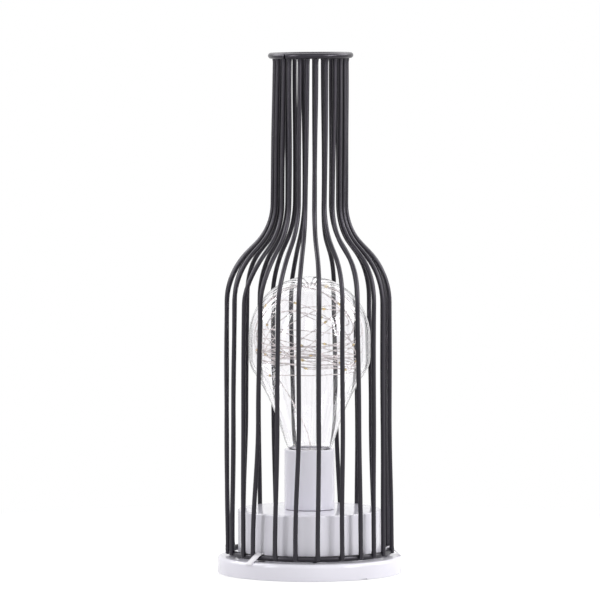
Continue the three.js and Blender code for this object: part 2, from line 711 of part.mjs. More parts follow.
function switchBody() {
  const floor = SWITCH_Z + SWITCH_FLOOR;
  const roomX = (SLIDER_L + SWITCH_TRAVEL) / 2 + RUN;
  const roomY = SLIDER_W / 2 + RUN;
  const y0 = SWITCH_Y - SWITCH_W / 2;
  const body = block(-SWITCH_L / 2, SWITCH_L / 2, y0, y0 + SWITCH_W, SWITCH_Z, SWITCH_Z + SWITCH_H);
  const room = block(-roomX, roomX, SWITCH_Y - roomY, SWITCH_Y + roomY, floor, floor + SLIDER_T + 2 * FIT);
  return cut(body, room, stemSlot(SWITCH_Z - FIT, floor + FIT));
}

// The slider rests at the off end of its travel.
function switchSlider() {
  const z = SWITCH_Z + SWITCH_FLOOR + FIT;
  const middle = (length, width, z0, z1) => block(-length / 2, length / 2, -width / 2, width / 2, z0, z1);
  const shoe = middle(SLIDER_L, SLIDER_W, z, z + SLIDER_T);
  const stem = middle(STEM_L, STEM_W, STEM_LIFT, z + SLIDER_T / 2);
  return join(shoe, stem).translate(-SWITCH_TRAVEL / 2, SWITCH_Y, 0);
}

add("switch_body", switchBody(), DARK_PLASTIC);
add("switch_slider", switchSlider(), DARK_PLASTIC);

function coverScrew() {
  const head = rod(SCREW_HEAD_D, 0, SCREW_HEAD_T);
  const shank = rod(SCREW_D, SCREW_HEAD_T / 2, SCREW_HEAD_T + SCREW_L);
  const half = SCREW_SLOT_W / 2;
  const across = (length, width) => block(-length, length, -width, width, -FIT, SCREW_SLOT_DEPTH);
  const reach = SCREW_HEAD_D / 3;
  return cut(join(head, shank), across(reach, half), across(half, reach));
}

for (let i = 0; i < SCREWS; i++) {
  const place = polar(SCREW_PATH_R, FIRST_SCREW + (360 / SCREWS) * i, COVER_Z);
  add(`cover_screw_${i + 1}`, coverScrew(), BRIGHT_STEEL).position.copy(place);
}

for (let i = 0; i < FEET; i++) {
  const { x, y } = polar(FOOT_PATH_R, 90 + (360 / FEET) * i, 0);
  add(`foot_${i + 1}`, rod(FOOT_D, 0, FOOT_T, x, y), GREY_RUBBER);
}

// Tongues.

// A tongue's middle line in [radius, height]: an anchor under the flange, a stem up inside the foot ring, a
// wrap over the ring, and an arm that leaves the ring straight for the flange's edge.
function tongueLine() {
  const anchorZ = FLANGE_H - SHELL_WALL - FIT - TONGUE_T / 2;
  const tip = [FLANGE_R - TONGUE_TIP_IN, FLANGE_H - TONGUE_TIP_DROP];
  const out = tip[0] - FOOT_RING_R;
  const down = FOOT_RING_Z - tip[1];
  const leave = Math.acos(TONGUE_WRAP_R / Math.hypot(out, down)) - Math.atan2(down, out);
  const line = [
    [TONGUE_R + TONGUE_ANCHOR, anchorZ],
    [TONGUE_R, anchorZ],
    ...arc(FOOT_RING_R, FOOT_RING_Z, TONGUE_WRAP_R, 180, THREE.MathUtils.radToDeg(leave), TONGUE_STEPS),
    tip,
  ];
  return line.map(([radius, z]) => new THREE.Vector2(radius, z));
}

// The outline of a strip of even thickness about a line.
function strip(line, thickness) {
  const sides = [1, -1].map((side) =>
    line.map((point, i) => {
      const before = line[Math.max(0, i - 1)];
      const after = line[Math.min(line.length - 1, i + 1)];
      const inward = point.clone().sub(before).normalize();
      const outward = after.clone().sub(point).normalize();
      const along = inward.add(outward).normalize();
      const square = i === 0 || i === line.length - 1 ? along : after.clone().sub(point).normalize();
      const reach = (side * thickness) / 2 / along.dot(square);
      return new THREE.Vector2(point.x - along.y * reach, point.y + along.x * reach);
    }),
  );
  return new THREE.Shape([...sides[0], ...sides[1].reverse()]);
}

function tongue() {
  const line = strip(tongueLine(), TONGUE_T);
  const band = new THREE.ExtrudeGeometry(line, { depth: TONGUE_W, bevelEnabled: false });
  band.rotateX(Math.PI / 2).translate(0, TONGUE_W / 2, 0);
  const plan = new THREE.Shape([
    new THREE.Vector2(0, -TONGUE_W / 2),
    new THREE.Vector2(FOOT_RING_R, -TONGUE_W / 2),
    new THREE.Vector2(FLANGE_R, -TONGUE_TIP_W / 2),
    new THREE.Vector2(FLANGE_R, TONGUE_TIP_W / 2),
    new THREE.Vector2(FOOT_RING_R, TONGUE_W / 2),
    new THREE.Vector2(0, TONGUE_W / 2),
  ]);
  return common(band, new THREE.ExtrudeGeometry(plan, { depth: DRUM_H, bevelEnabled: false }));
}

TONGUE_AZIMUTHS.forEach((azimuth, i) => {
  add(`cage_tongue_${i + 1}`, tongue(), WHITE_NYLON).rotation.z = facing(azimuth);
});

// Sleeve and bulb.

function neckSleeve() {
  const spigot = SPIGOT_D / 2;
  const spigotIn = spigot - SPIGOT_WALL;
  const lipTop = DRUM_H - SHELL_WALL - FIT;
  const profile = [
    [spigotIn, lipTop - LIP_H],
    [spigot, lipTop - LIP_H],
    [spigot + LIP_REACH, lipTop],
    [spigot, lipTop],
    [spigot, SLEEVE_Z],
    [SLEEVE_R, SLEEVE_Z],
    ...arc(SLEEVE_R - SLEEVE_EDGE_R, SLEEVE_TOP_Z - SLEEVE_EDGE_R, SLEEVE_EDGE_R, 0, 90),
    [BORE_R, SLEEVE_TOP_Z],
    [BORE_R, SLEEVE_Z + SLEEVE_WALL],
    [spigotIn, SLEEVE_Z],
    [spigotIn, lipTop - LIP_H],
  ];
  return turned(profile, BULB_ROUND);
}

add("neck_sleeve", neckSleeve(), WHITE_GLOSS);

// The bulb's outside from its plug up to its top: [radius, height].
function bulbOutside() {
  const throatZ = SLEEVE_TOP_Z + THROAT_H;
  const seatZ = SLEEVE_TOP_Z + FIT;
  const throatR = THROAT_D / 2;
  const haunchZ = GLOBE_Z - BELT_H;
  const haunch = arc(GLOBE_R - HAUNCH_R, haunchZ, HAUNCH_R, -HAUNCH_SLOPE, 0);
  const [coneR, coneZ] = haunch[0];
  const steep = Math.tan(rad(HAUNCH_SLOPE));
  const slight = Math.tan(rad(THROAT_SLOPE));
  const bendZ = (throatR - coneR + steep * coneZ - slight * throatZ) / (steep - slight);
  const cone = new THREE.QuadraticBezierCurve(
    new THREE.Vector2(throatR, throatZ),
    new THREE.Vector2(throatR + slight * (bendZ - throatZ), bendZ),
    new THREE.Vector2(coneR, coneZ),
  );
  const shoulder = new THREE.QuadraticBezierCurve(
    new THREE.Vector2(PLUG_R, seatZ),
    new THREE.Vector2(throatR - slight * (throatZ - seatZ), seatZ),
    new THREE.Vector2(throatR, throatZ),
  );
  const pairs = (points) => points.map(({ x, y }) => [x, y]);
  return [
    [PLUG_R, PLUG_Z],
    ...pairs(shoulder.getPoints(EDGE_STEPS)),
    ...pairs(cone.getPoints(CONE_STEPS)).slice(1),
    ...haunch.slice(1),
    ...arc(0, GLOBE_Z, GLOBE_R, 0, 90, GLOBE_STEPS),
  ];
}

// The same line a wall's thickness further in.
function bulbInside(outside) {
  return outside.map(([radius, z], i) => {
    if (i === 0) return [radius - BULB_WALL, z];
    if (i === 1) return [radius - BULB_WALL, z + BULB_WALL];
    if (i === outside.length - 1) return [0, z - BULB_WALL];
    const [r0, z0] = outside[i - 1];
    const [r1, z1] = outside[i + 1];
    const length = Math.hypot(r1 - r0, z1 - z0);
    return [radius - (BULB_WALL * (z1 - z0)) / length, z + (BULB_WALL * (r1 - r0)) / length];
  });
}

const BULB_OUTSIDE = bulbOutside();
const BULB_INSIDE = bulbInside(BULB_OUTSIDE);
add("bulb_envelope", turned([...BULB_INSIDE.reverse(), ...BULB_OUTSIDE], BULB_ROUND), CLEAR);

function bulbStopper() {
  const radius = PLUG_R - BULB_WALL - FIT;
  const hole = STOPPER_HOLE_D / 2;
  const z0 = STOPPER_Z;
  const z1 = z0 + STOPPER_T;
  return turned([[hole, z0], [radius, z0], [radius, z1], [hole, z1], [hole, z0]], BULB_ROUND);
}

add("bulb_stopper", bulbStopper(), WHITE_NYLON);

// Light string.

// A point of the winding: it circles the globe while its latitude swings and its depth under the wall grows.
function windingPoint(turn) {
  const slanted = THREE.MathUtils.clamp(turn - SLANT_FROM, 0, SLANT_TURNS);
  const phase = 2 * Math.PI * (turn + PRECESSION * slanted) + rad(WINDING_PHASE);
  const latitude = rad(keyed(MEAN_KEYS, turn) + keyed(SWING_KEYS, turn) * Math.sin(phase));
  const radius = WINDING_R * (1 - keyed(DEPTH_KEYS, turn));
  const azimuth = -WINDING_START + 360 * turn;
  return polar(radius * Math.cos(latitude), azimuth, GLOBE_Z + radius * Math.sin(latitude));
}

// The lead comes up through the stopper, straight at first, and leans over to where the winding starts.
function leadPoints() {
  const start = windingPoint(0);
  const rise = new THREE.CatmullRomCurve3([
    new THREE.Vector3(0, 0, STRING_Z + STRING_D),
    new THREE.Vector3(0, 0, STOPPER_Z),
    new THREE.Vector3(0, 0, SLEEVE_TOP_Z + THROAT_H),
    start.clone().multiply(new THREE.Vector3(0.4, 0.4, 0)).setZ((SLEEVE_TOP_Z + THROAT_H + start.z) / 2),
    start,
  ]);
  return [new THREE.Vector3(0, 0, STRING_Z), ...rise.getPoints(RISE_STEPS)];
}

// The string's points and radii: an even step a turn, and closer ones along each light's drop.
function lightString() {
  const fine = [...leadPoints()];
  const coarse = fine.map((point, i) => i);
  const perTurn = FINE_STEPS * WINDING_STEPS;
  for (let i = 1; i <= WINDING_TURNS * perTurn; i++) {
    if (i % FINE_STEPS === 0) coarse.push(fine.length);
    fine.push(windingPoint(i / perTurn));
  }
  const along = [0];
  for (let i = 1; i < fine.length; i++) {
    along.push(along[i - 1] + fine[i].distanceTo(fine[i - 1]));
  }
  const at = (place) => {
    const next = Math.max(1, along.findIndex((distance) => distance >= place));
    const part = (place - along[next - 1]) / (along[next] - along[next - 1]);
    return fine[next - 1].clone().lerp(fine[next], part);
  };
  const stations = coarse.map((index) => ({ place: along[index], radius: STRING_D / 2 }));
  for (let middle = LED_FIRST; middle < along.at(-1) - LED_L; middle += LED_PITCH) {
    const clear = stations.filter(({ place }) => Math.abs(place - middle) > LED_L);
    for (const part of [-1, -0.6, 0, 0.6, 1]) {
      const swell = ((LED_D - STRING_D) / 2) * Math.sqrt(1 - part * part);
      clear.push({ place: middle + (part * LED_L) / 2, radius: STRING_D / 2 + swell });
    }
    stations.splice(0, stations.length, ...clear);
  }
  stations.sort((a, b) => a.place - b.place);
  return { points: stations.map(({ place }) => at(place)), radii: stations.map(({ radius }) => radius) };
}

const STRING = lightString();
const STRING_GAP = leastGap(STRING.points, STRING.radii, 3 * LED_L);
console.log("light string: least gap to itself", STRING_GAP.toFixed(2), "mm");
add("light_string", windingTube(STRING.points, STRING.radii), STRING_WIRE);

// Leads and resistor.

const TAB_Z = TRAY_TOP_Z + TAB_RISE - LEAD_D;
const ON_TRAY_Z = TRAY_TOP_Z + FIT + LEAD_D / 2;
const TERMINAL_Z = SWITCH_Z + SWITCH_H + FIT;
const JOINT_Z = STRING_Z - FIT;

function lead(name, material, points) {
  add(name, wire(points.map(([x, y, z]) => new THREE.Vector3(x, y, z)), LEAD_D), material);
}

const RESISTOR_X = POSITIVE_X - Math.sign(POSITIVE_X) * (FIT + RESISTOR_LEG_L + RESISTOR_L / 2);
const RESISTOR_Z = TRAY_TOP_Z + FIT + RESISTOR_D / 2;

function resistor() {
  const body = rod(RESISTOR_D, -RESISTOR_L / 2, RESISTOR_L / 2);
  const reach = RESISTOR_L / 2 + RESISTOR_LEG_L;
  const legs = rod(RESISTOR_LEG_D, -reach, reach);
  return join(body, legs).rotateY(Math.PI / 2).translate(RESISTOR_X, LAST.y, RESISTOR_Z);
}

add("resistor", resistor(), BEIGE_LACQUER);

const LEG_END_X = RESISTOR_X - Math.sign(POSITIVE_X) * (RESISTOR_L / 2 + RESISTOR_LEG_L + FIT);

lead("lead_feed", RED_SHEATH, [
  [LEG_END_X, LAST.y, RESISTOR_Z],
  [LEG_END_X + LEAD_D, LAST.y, RESISTOR_Z],
  [-2.5 * LEAD_SPREAD, 0.72 * LAST.y, RESISTOR_Z + LEAD_D],
  [-2 * LEAD_SPREAD, 0.33 * LAST.y, RESISTOR_Z + 3.5 * LEAD_D],
  [-LEAD_SPREAD, 0.5 * LEAD_SPREAD, DRUM_H],
  [-LEAD_SPREAD, 0, JOINT_Z - LEAD_D],
  [-LEAD_SPREAD, 0, JOINT_Z],
]);

lead("lead_return", BLACK_SHEATH, [
  [0, SWITCH_Y, TERMINAL_Z],
  [0, SWITCH_Y, TERMINAL_Z + LEAD_D],
  [LEAD_SPREAD, SWITCH_Y - LEAD_SPREAD, TRAY_TOP_Z],
  [4 * LEAD_SPREAD, 0.92 * TRAY_Y, ON_TRAY_Z + 1.4 * LEAD_D],
  [5 * LEAD_SPREAD, 0.41 * TRAY_Y, ON_TRAY_Z + 1.4 * LEAD_D],
  [3 * LEAD_SPREAD, 3 * LEAD_SPREAD, (ON_TRAY_Z + DRUM_H) / 2],
  [LEAD_SPREAD, 0.5 * LEAD_SPREAD, DRUM_H],
  [LEAD_SPREAD, 0, JOINT_Z - LEAD_D],
  [LEAD_SPREAD, 0, JOINT_Z],
]);

lead("lead_negative", BLACK_SHEATH, [
  [NEGATIVE_X - FIT, FIRST.y, TAB_Z],
  [NEGATIVE_X - FIT - LEAD_D, FIRST.y, TAB_Z],
  [0.62 * NEGATIVE_X, FIRST.y + 2 * LEAD_D, ON_TRAY_Z],
  [0.48 * NEGATIVE_X, 0, ON_TRAY_Z],
  [0.41 * NEGATIVE_X, 0.57 * TRAY_Y, ON_TRAY_Z],
  [0.28 * NEGATIVE_X, TRAY_Y, ON_TRAY_Z + LEAD_D],
  [0.14 * NEGATIVE_X, SWITCH_Y - LEAD_SPREAD, TRAY_TOP_Z - 2 * LEAD_D],
  [0.3 * SWITCH_L, SWITCH_Y, TERMINAL_Z + LEAD_D],
  [0.3 * SWITCH_L, SWITCH_Y, TERMINAL_Z],
]);

export default lamp;
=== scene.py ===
import math

import bmesh
import bpy
from mathutils import Matrix, Vector


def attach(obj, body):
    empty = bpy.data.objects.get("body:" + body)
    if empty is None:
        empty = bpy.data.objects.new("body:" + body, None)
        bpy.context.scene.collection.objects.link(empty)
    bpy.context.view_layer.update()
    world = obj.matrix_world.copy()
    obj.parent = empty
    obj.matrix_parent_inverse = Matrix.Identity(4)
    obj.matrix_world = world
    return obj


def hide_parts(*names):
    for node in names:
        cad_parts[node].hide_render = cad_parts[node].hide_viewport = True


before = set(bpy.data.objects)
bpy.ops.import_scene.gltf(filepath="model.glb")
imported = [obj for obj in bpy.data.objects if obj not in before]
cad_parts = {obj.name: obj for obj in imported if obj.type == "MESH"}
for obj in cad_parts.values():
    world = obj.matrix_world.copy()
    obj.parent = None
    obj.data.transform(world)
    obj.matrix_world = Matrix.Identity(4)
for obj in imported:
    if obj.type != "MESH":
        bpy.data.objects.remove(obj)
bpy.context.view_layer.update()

# A battery lamp in the shape of a wire bottle. Sizes are in millimetres and follow the solids of the
# frame; meshes are made at that size and scaled to metres. Azimuth 0 is the front (-Y), 90 is +X.
MM = 0.001
BODY = "lamp_body"

# Base.
FIT = 0.3
FOOT_T = 1.5
FOOT_D = 10
FOOT_EASE = 0.4
FEET = 3
RIM_LIFT = 0.1
RIM_CHAMFER = 0.12
SHELL_WALL = 2
COVER_T = 2.5
COVER_EDGE_R = 0.35
FLANGE_H = 10
FLANGE_R = 55.139
FLANGE_EDGE_R = 2.3
DRUM_H = 37.8
DRUM_R = 42.939
DRUM_EDGE_R = 1
DRUM_FOOT_EASE = 0.4
SPIGOT_R = 13.4
SPIGOT_WALL = 1.8
LIP_H = 1.7
LIP_REACH = 0.8
POST_D = 5
POST_AZIMUTH = 66
POST_PATH_R = 24
PRY_W = 4
PRY_H = 0.8
PRY_AZIMUTH = 36
COVER_R = 52.839
COVER_Z = FOOT_T
COVER_TOP_Z = COVER_Z + COVER_T
FOOT_PATH_R = 44.839
TRAY_TOP_Z = 21.1

# Cover screws.
SCREWS = 3
SCREW_D = 2.4
SCREW_L = 6
SCREW_HEAD_D = 4.6
SCREW_HEAD_T = 1.4
SCREW_PATH_R = 48.039
FIRST_SCREW = 30
BOSS_D = 6.4
HEAD_DOME = [(0.6, 0.02), (0.85, 0.18), (1, 0.5)]  # share of the head's radius, and depth
RECESS_L = 3
RECESS_W = 0.7
RECESS_DEPTH = 0.7
THREADS = 7
THREAD_L = 5
THREAD_DEPTH = 0.3
THREAD_RISE = 0.35
THREAD_END = 0.4  # from the head to the thread, and from the thread to the tip

# Cage.
UPRIGHTS = 24
WIRE_D = 2.8
WIRE_EASE = 0.25
FOOT_RING_D = 3.5
FOOT_RING_R = 48.039
FOOT_RING_Z = 12.6
TOP_RING_D = 3.5
TOP_RING_R = 23.75
TOP_RING_Z = 309.5
CAGE_R = 49.739
UPRIGHT_Z = 14.65
UPRIGHT_TOP_Z = 307.45
FOOT_INTO = 2.6  # of an upright down the outside of the foot ring
TOP_INTO = 0.9  # of an upright into the top ring
BODY_TAPER = 0.55
NECK_R = 22.15
NECK_TAPER = 0.6
NECK_FOOT_Z = 221.2
HOLLOW_R = 35
CROWN_R = 42
SHOULDER_SLOPE = 45
RING_EASE = 0.3
RING_ENDS_GAP = 0.5
RING_END_STEP = 0.8
RING_END_PART = 0.15
TOP_RING_TILT = 0.2
TOP_JOINT = -38
FOOT_JOINT = 38
CAGE_SWAY = 0.8
SWAY_LENGTH = 460
SIDE_STRAY_Z = 95
CUT_INSET = 0.5  # of the end cuts through an upright from its ends
WAVE = 0.12  # of a wire about its line
WAVE_FROM_Z = 60
WAVE_TO_Z = 260
OUT_WAVE, OUT_PHASE = 15, 2.4  # a radian of the wave in and out, and the phase between neighbours
ASIDE_WAVE, ASIDE_PHASE = 23, 3.7
WELD_SWELL = 0.2  # of a wire towards the ring that it is welded to
WELD_L = 1.1
FOOT_WELD_H = 3  # from a ring's middle to the end of the finer steps
TOP_WELD_H = 5
WELD_DROPS = [(4, 0.8), (-60, 0.5), (70, 0.6), (150, 0.7), (-130, 0.6)]  # azimuth and size

# Tongues.
TONGUE_AZIMUTHS = [-37.4, 90, 210]
TONGUE_T = 0.7
TONGUE_EASE = 0.22
TONGUE_W = 4.8
TONGUE_TIP_W = 4.4
TONGUE_WRAP_R = 2.4
TONGUE_R = FOOT_RING_R - TONGUE_WRAP_R
TONGUE_ANCHOR = 1.8
TONGUE_FOLD = (0.5, 0.6)  # out and up, where the tongue turns up from its anchor
TONGUE_LIE = 0.1  # of a tongue above the flange's rounded edge
TONGUE_ENDS = [15, 44, 15]  # on that edge, in degrees up from its outside
TONGUE_SKEWS = [-3.2, 0.8, -1.2]  # of the tips aside

# Sleeve and bulb.
SLEEVE_R = 15
SLEEVE_WALL = 2.5
SLEEVE_EDGE_R = 0.6
SLEEVE_EASE = 0.3
SLEEVE_Z = 38.1
SLEEVE_TOP_Z = 74
PLUG_R = 12.2
PLUG_Z = 60
PLUG_BEND_H = 2  # from the plug's straight wall to the bulb's seat
BULB_TOP_Z = 177.4
PLUG_WALL = 1.2
BULB_WALL = 0.4  # of the blown globe, thinner than its plug
THIN_WALL_Z = SLEEVE_TOP_Z + 1
GLOBE_R = 36.4
GLOBE_Z = 141
BELT_H = 12
HAUNCH_R = 15
HAUNCH_SLOPE = 35
THROAT_R = 14.9
THROAT_Z = SLEEVE_TOP_Z + 5
THROAT_SLOPE = 17
STOPPER_T = 4
STOPPER_Z = 69.2
STOPPER_HOLE_R = 1.2
STOPPER_EASE = 0.4

# Light string.
STRAND_R = 0.16
STRAND_APART = 0.17
STRAND_PITCH = 7
STRAND_EASE = 0.05
STRAND_ACROSS = Vector((0.31, 0.2, 0.93))  # the strands' twist is measured from this way
STRING_Z = 55
STRING_SPREAD = 0.4  # half-way up to the winding, as a share of the winding's start
LED_D = 1.5
LED_L = 3.4
LED_TAPER = 1.2
LED_PITCH = 118
LED_FIRST = 95
CHIP_X, CHIP_Y, CHIP_Z = 0.6, 0.44, 1
CHIP_EASE = 0.06
WINDING_R = 34.35
WINDING_START = 125
WINDING_PHASE = 34
PRECESSION = 0.21
SLANT_FROM = 6
SLANT_TURNS = 4.6
WINDING_TURNS = 15.5
WINDING_STEPS = 200
# Keys of the winding: turn and mean latitude, turn and swing about it, turn and depth under the wall.
MEAN_KEYS = [(0, -50), (0.6, -32), (6, -14), (6.8, 7), (11.3, 9)]
SWING_KEYS = [(0, 5), (6, 6), (6.8, 34), (10.2, 34), (11.3, 12)]
DEPTH_KEYS = [(0, 0), (5.4, 0.047), (6.4, 0.093), (10.4, 0.24), (11.3, 0.03)]
# The last loops go over the crown and come back around the belt, in turn before and behind.
LOOPS_FROM = 11.1
LOOP_BLEND = (10.7, 11.25)
LOOP_YAWS = [-28, 18, -10, 33, 8]
LOOP_LEANS = [13, -9, 3, -14, 7]
LOOP_DROPS = [-7, 15, 4, -16]
LOOP_EASE = 12
# Small wanderings of the string by hand: swing in degrees, waves a turn and phase.
WANDER = [(2.2, 0.73, 0.5), (1.6, 1.61, 2.1), (1.0, 3.3, 0.7), (1.4, 4.3, 1.1), (0.8, 7.9, 0.3)]

# Cells and springs.
CELL_D = 14.5
CELL_L = 49.5
CELL_EDGE_R = 0.5
CELL_RIM = 1  # of the round rim at a cell's foot
CELL_DISH_R = 1.3  # from the cell's side to its dished foot
CELL_DISH = 0.25
CELL_TOP_RIM = 1.2
CELL_TOP_DIP = 0.1
CELL_BARE_R = 1.25  # from the cell's side to its bare ends
CELL_NUB_D = 5.5
CELL_NUB_L = 1
CELL_NUB_FOOT = 0.6
CELL_NUB_EDGE_R = 0.35
CELL_COUNT = 3
CELL_PITCH = 15.2
CELL_Z = 11.85
CONTACT_X = 29
SPRING_L = 6.6
SPRING_WIRE_D = 0.8
SPRING_WIDE_D = 9
SPRING_NARROW_D = 5.6
SPRING_CURLS = 3
SPRING_EASE = 0.1

# Leads and resistor.
LEAD_D = 1.4
LEAD_EASE = 0.12
LEAD_SPREAD = 1
LEAD_JOINT_Z = 54.7
ON_TRAY_Z = 22.1
TRAY_Y = 24.45
TAB_Z = 22.7
RESISTOR_D = 2.4
RESISTOR_L = 6.5
RESISTOR_EDGE_R = 0.5
RESISTOR_CAP_L = 1.4
RESISTOR_WAIST_L = 2  # from an end to the waist
RESISTOR_WAIST = 0.88
RESISTOR_LEG_D = 0.7
RESISTOR_LEG_L = 7
RESISTOR_X = -18.45
RESISTOR_Z = 22.6

# Battery door and switch.
DOOR_X = 28.9
DOOR_Y = 22.15
DOOR_T = 1.8
DOOR_EASE = 0.3
DOOR_GAP = 0.4
HINGE_X = -27.6
HINGE_Z = 2.8
BARREL_D = 2.6
BARREL_EASE = 0.2
PIN_D = 1.2
PIN_L = 1.6
PIN_EASE = 0.1
PIN_INTO = 0.5  # of a pin into its barrel
FINGER_W = 10
FINGER_DEPTH = 2.5
FINGER_EASE = 0.8
GROOVES = 5
GROOVE_FROM = 3  # from the finger notch
GROOVE_PITCH = 2
GROOVE_W = 1
GROOVE_L = 16
GROOVE_STEP = 1  # by which each groove's ends fall short of the last one's
GROOVE_DEPTH = 0.5
GROOVE_EASE = 0.2
CUT_PAST = 1  # of a cut past the face that it goes into
SWITCH_Y = 31.45
SWITCH_L = 10
SWITCH_SLOT_L = 6.2
SWITCH_SLOT_W = 2.8
TERMINAL_Z = 10.6

# Meshes: sides and facets, and the angle in degrees up to which an edge is shaded smooth.
AXIS_R = 1e-6
CAP_SHARE = 0.68  # of an eased end of a tube across its section
WIRE_SIDES = 12
RING_SIDES = 16
RING_STEPS = 180
SIDE_STEPS = 26
NECK_STEPS = 14
WELD_STEPS = 4
STRAND_SIDES = 5
SPRING_SIDES = 10
CURL_STEPS = 24
TONGUE_TIP_STEPS = 6
LED_STEPS = 12
LED_FACETS = 14
PIN_FACETS = 20
RESISTOR_FACETS = 24
ROD_FACETS = 32
SCREW_FACETS = 40
CELL_FACETS = 56
DISC_FACETS = 64
TUBE_FACETS = 96
BASE_FACETS = 144
FINE_SMOOTH = 30
SMOOTH = 40
WIRE_SMOOTH = 50
BULB_SMOOTH = 60
STRING_SMOOTH = 80
CAD_MERGE = 0.01  # of the corners of a solid that is shown as it is
CAD_EDGE = 0.12  # of its eased edges

# Photograph's view, in metres and degrees.
CAMERA_AT = (-0.0057, -3.25, 0.37)
CAMERA_PITCH = 3.64
CAMERA_LENS = 326.6
CAMERA_SENSOR = 36
CAMERA_REACH = 100

# Studio, in metres and watts: the light that a surface gets, and what camera, gloss and glass see.
WORLD_LIGHT, WORLD_SEEN = 0.13, 1.0
FLOOR_LIGHT, FLOOR_SEEN = 0.0, 0.38
WHITE = (1, 1, 1, 1)
FLOOR_TONE = 0.62
FLOOR_ROUGH = 0.9
FLOOR_GLOSS = 0.1
FLOOR_R = 2.5
FLOOR_FADE = (0.1, 0.4)  # from the floor's own tone to white
LAMPS_AIM_Z = 0.1
# Azimuth, elevation, distance, width, height and power of each lamp.
LAMPS = {
    "left_box": (-51, 25, 1.3, 0.25, 0.9, 6.2),
    "right_box": (57, 22, 1.3, 0.4, 0.72, 10.2),
    "front_box": (8, 28, 1.7, 1.2, 0.8, 4.3),
    "back_box": (180, 55, 1.5, 1.9, 1.4, 12.0),
    "left_high_box": (-110, 35, 1.4, 0.8, 0.8, 10.2),
    "right_high_box": (110, 35, 1.4, 0.8, 0.8, 8.8),
}


def mix(a, b, part):
    return a + (b - a) * part


def smoothstep(x, low, high):
    part = min(1, max(0, (x - low) / (high - low)))
    return part * part * (3 - 2 * part)


def polar(radius, azimuth, z):
    angle = math.radians(azimuth)
    return Vector((radius * math.sin(angle), -radius * math.cos(angle), z))


def arc(radius, height, r, start, end, steps):
    points = []
    for i in range(steps + 1):
        angle = math.radians(mix(start, end, i / steps))
        points.append((radius + r * math.cos(angle), height + r * math.sin(angle)))
    return points


def low_corner(r, z, edge, steps):
    """The rounded outer corner at the foot of a profile."""
    return arc(r - edge, z + edge, edge, -90, 0, steps)


def high_corner(r, z, edge, steps):
    """The rounded outer corner at the top of a profile."""
    return arc(r - edge, z - edge, edge, 0, 90, steps)


def bezier(a, b, c, steps):
    points = []
    for i in range(steps + 1):
        t = i / steps
        points.append(tuple(
            (1 - t) ** 2 * p + 2 * t * (1 - t) * q + t * t * s for p, q, s in zip(a, b, c)))
    return points


def curve(knots, steps):
    """A smooth line through knots, with even steps between each two."""
    points = []
    for i in range(len(knots) - 1):
        p1, p2 = knots[i], knots[i + 1]
        p0 = knots[i - 1] if i else p1 * 2 - p2
        p3 = knots[i + 2] if i + 2 < len(knots) else p2 * 2 - p1
        d0, d1, d2 = ((b - a).length ** 0.5 for a, b in ((p0, p1), (p1, p2), (p2, p3)))
        leave = (p1 - p0) * (d1 / d0) - (p2 - p0) * (d1 / (d0 + d1)) + (p2 - p1)
        meet = (p2 - p1) - (p3 - p1) * (d1 / (d1 + d2)) + (p3 - p2) * (d1 / d2)
        for k in range(steps):
            t = k / steps
            points.append(p1 + leave * t + (p2 * 3 - p1 * 3 - leave * 2 - meet) * t ** 2
                          + (p1 * 2 - p2 * 2 + leave + meet) * t ** 3)
    points.append(knots[-1].copy())
    return points


def tangent_at(points, i):
    return (points[min(i + 1, len(points) - 1)] - points[max(i - 1, 0)]).normalized()


def keyed(keys, turn):
    for (start, low), (end, high) in zip(keys, keys[1:]):
        if turn <= end:
            return mix(low, high, max(0, (turn - start) / (end - start)))
    return keys[-1][1]


# Mesh helpers.

def skin(bm, rings):
    """Joins rings of corners into one closed skin with flat ends."""
    for low, high in zip(rings, rings[1:]):
        for k in range(len(low)):
            after = (k + 1) % len(low)
            bm.faces.new((low[k], low[after], high[after], high[k]))
    bm.faces.new(list(reversed(rings[0])))
    bm.faces.new(rings[-1])


def sweep(bm, points, radius, sides, ease, shape=None):
    """A closed round tube along points, whose ends are eased. A shape moves each corner of its skin."""
    points = [p.copy() for p in points]
    points[0] += (points[1] - points[0]).normalized() * ease
    points[-1] += (points[-2] - points[-1]).normalized() * ease
    tangents = [tangent_at(points, i) for i in range(len(points))]
    normal = tangents[0].orthogonal().normalized()
    rows = []
    for i, point in enumerate(points):
        if i:
            normal = tangents[i - 1].rotation_difference(tangents[i]) @ normal
            normal = (normal - tangents[i] * normal.dot(tangents[i])).normalized()
        across = tangents[i].cross(normal)
        row = []
        for k in range(sides):
            angle = 2 * math.pi * k / sides
            way = normal * math.cos(angle) + across * math.sin(angle)
            at = point + way * radius
            row.append(shape(at, point, way) if shape else at)
        rows.append(row)
    caps = []
    for end, inner in ((0, 1), (-1, -2)):
        out = (points[end] - points[inner]).normalized() * ease
        caps.append([points[end] + (v - points[end]) * CAP_SHARE + out for v in rows[end]])
    rows = [caps[0], *rows, caps[1]]
    skin(bm, [[bm.verts.new(v) for v in row] for row in rows])


def lathe(bm, profile, facets, place=Matrix()):
    """A solid of revolution about Z, whose profile is closed or starts and ends on the axis."""
    rings = []
    for radius, z in profile:
        if radius < AXIS_R:
            ring = [Vector((0, 0, z))]
        else:
            ring = [polar(radius, 360 * k / facets, z) for k in range(facets)]
        rings.append([bm.verts.new(place @ at) for at in ring])
    pairs = list(zip(rings, rings[1:]))
    if len(rings[0]) > 1:
        pairs.append((rings[-1], rings[0]))
    for low, high in pairs:
        for k in range(facets):
            after = (k + 1) % facets
            corners = [low[k % len(low)], low[after % len(low)]]
            corners += [high[after % len(high)], high[k % len(high)]]
            corners = list(dict.fromkeys(corners))
            if len(corners) > 2:
                bm.faces.new(corners)


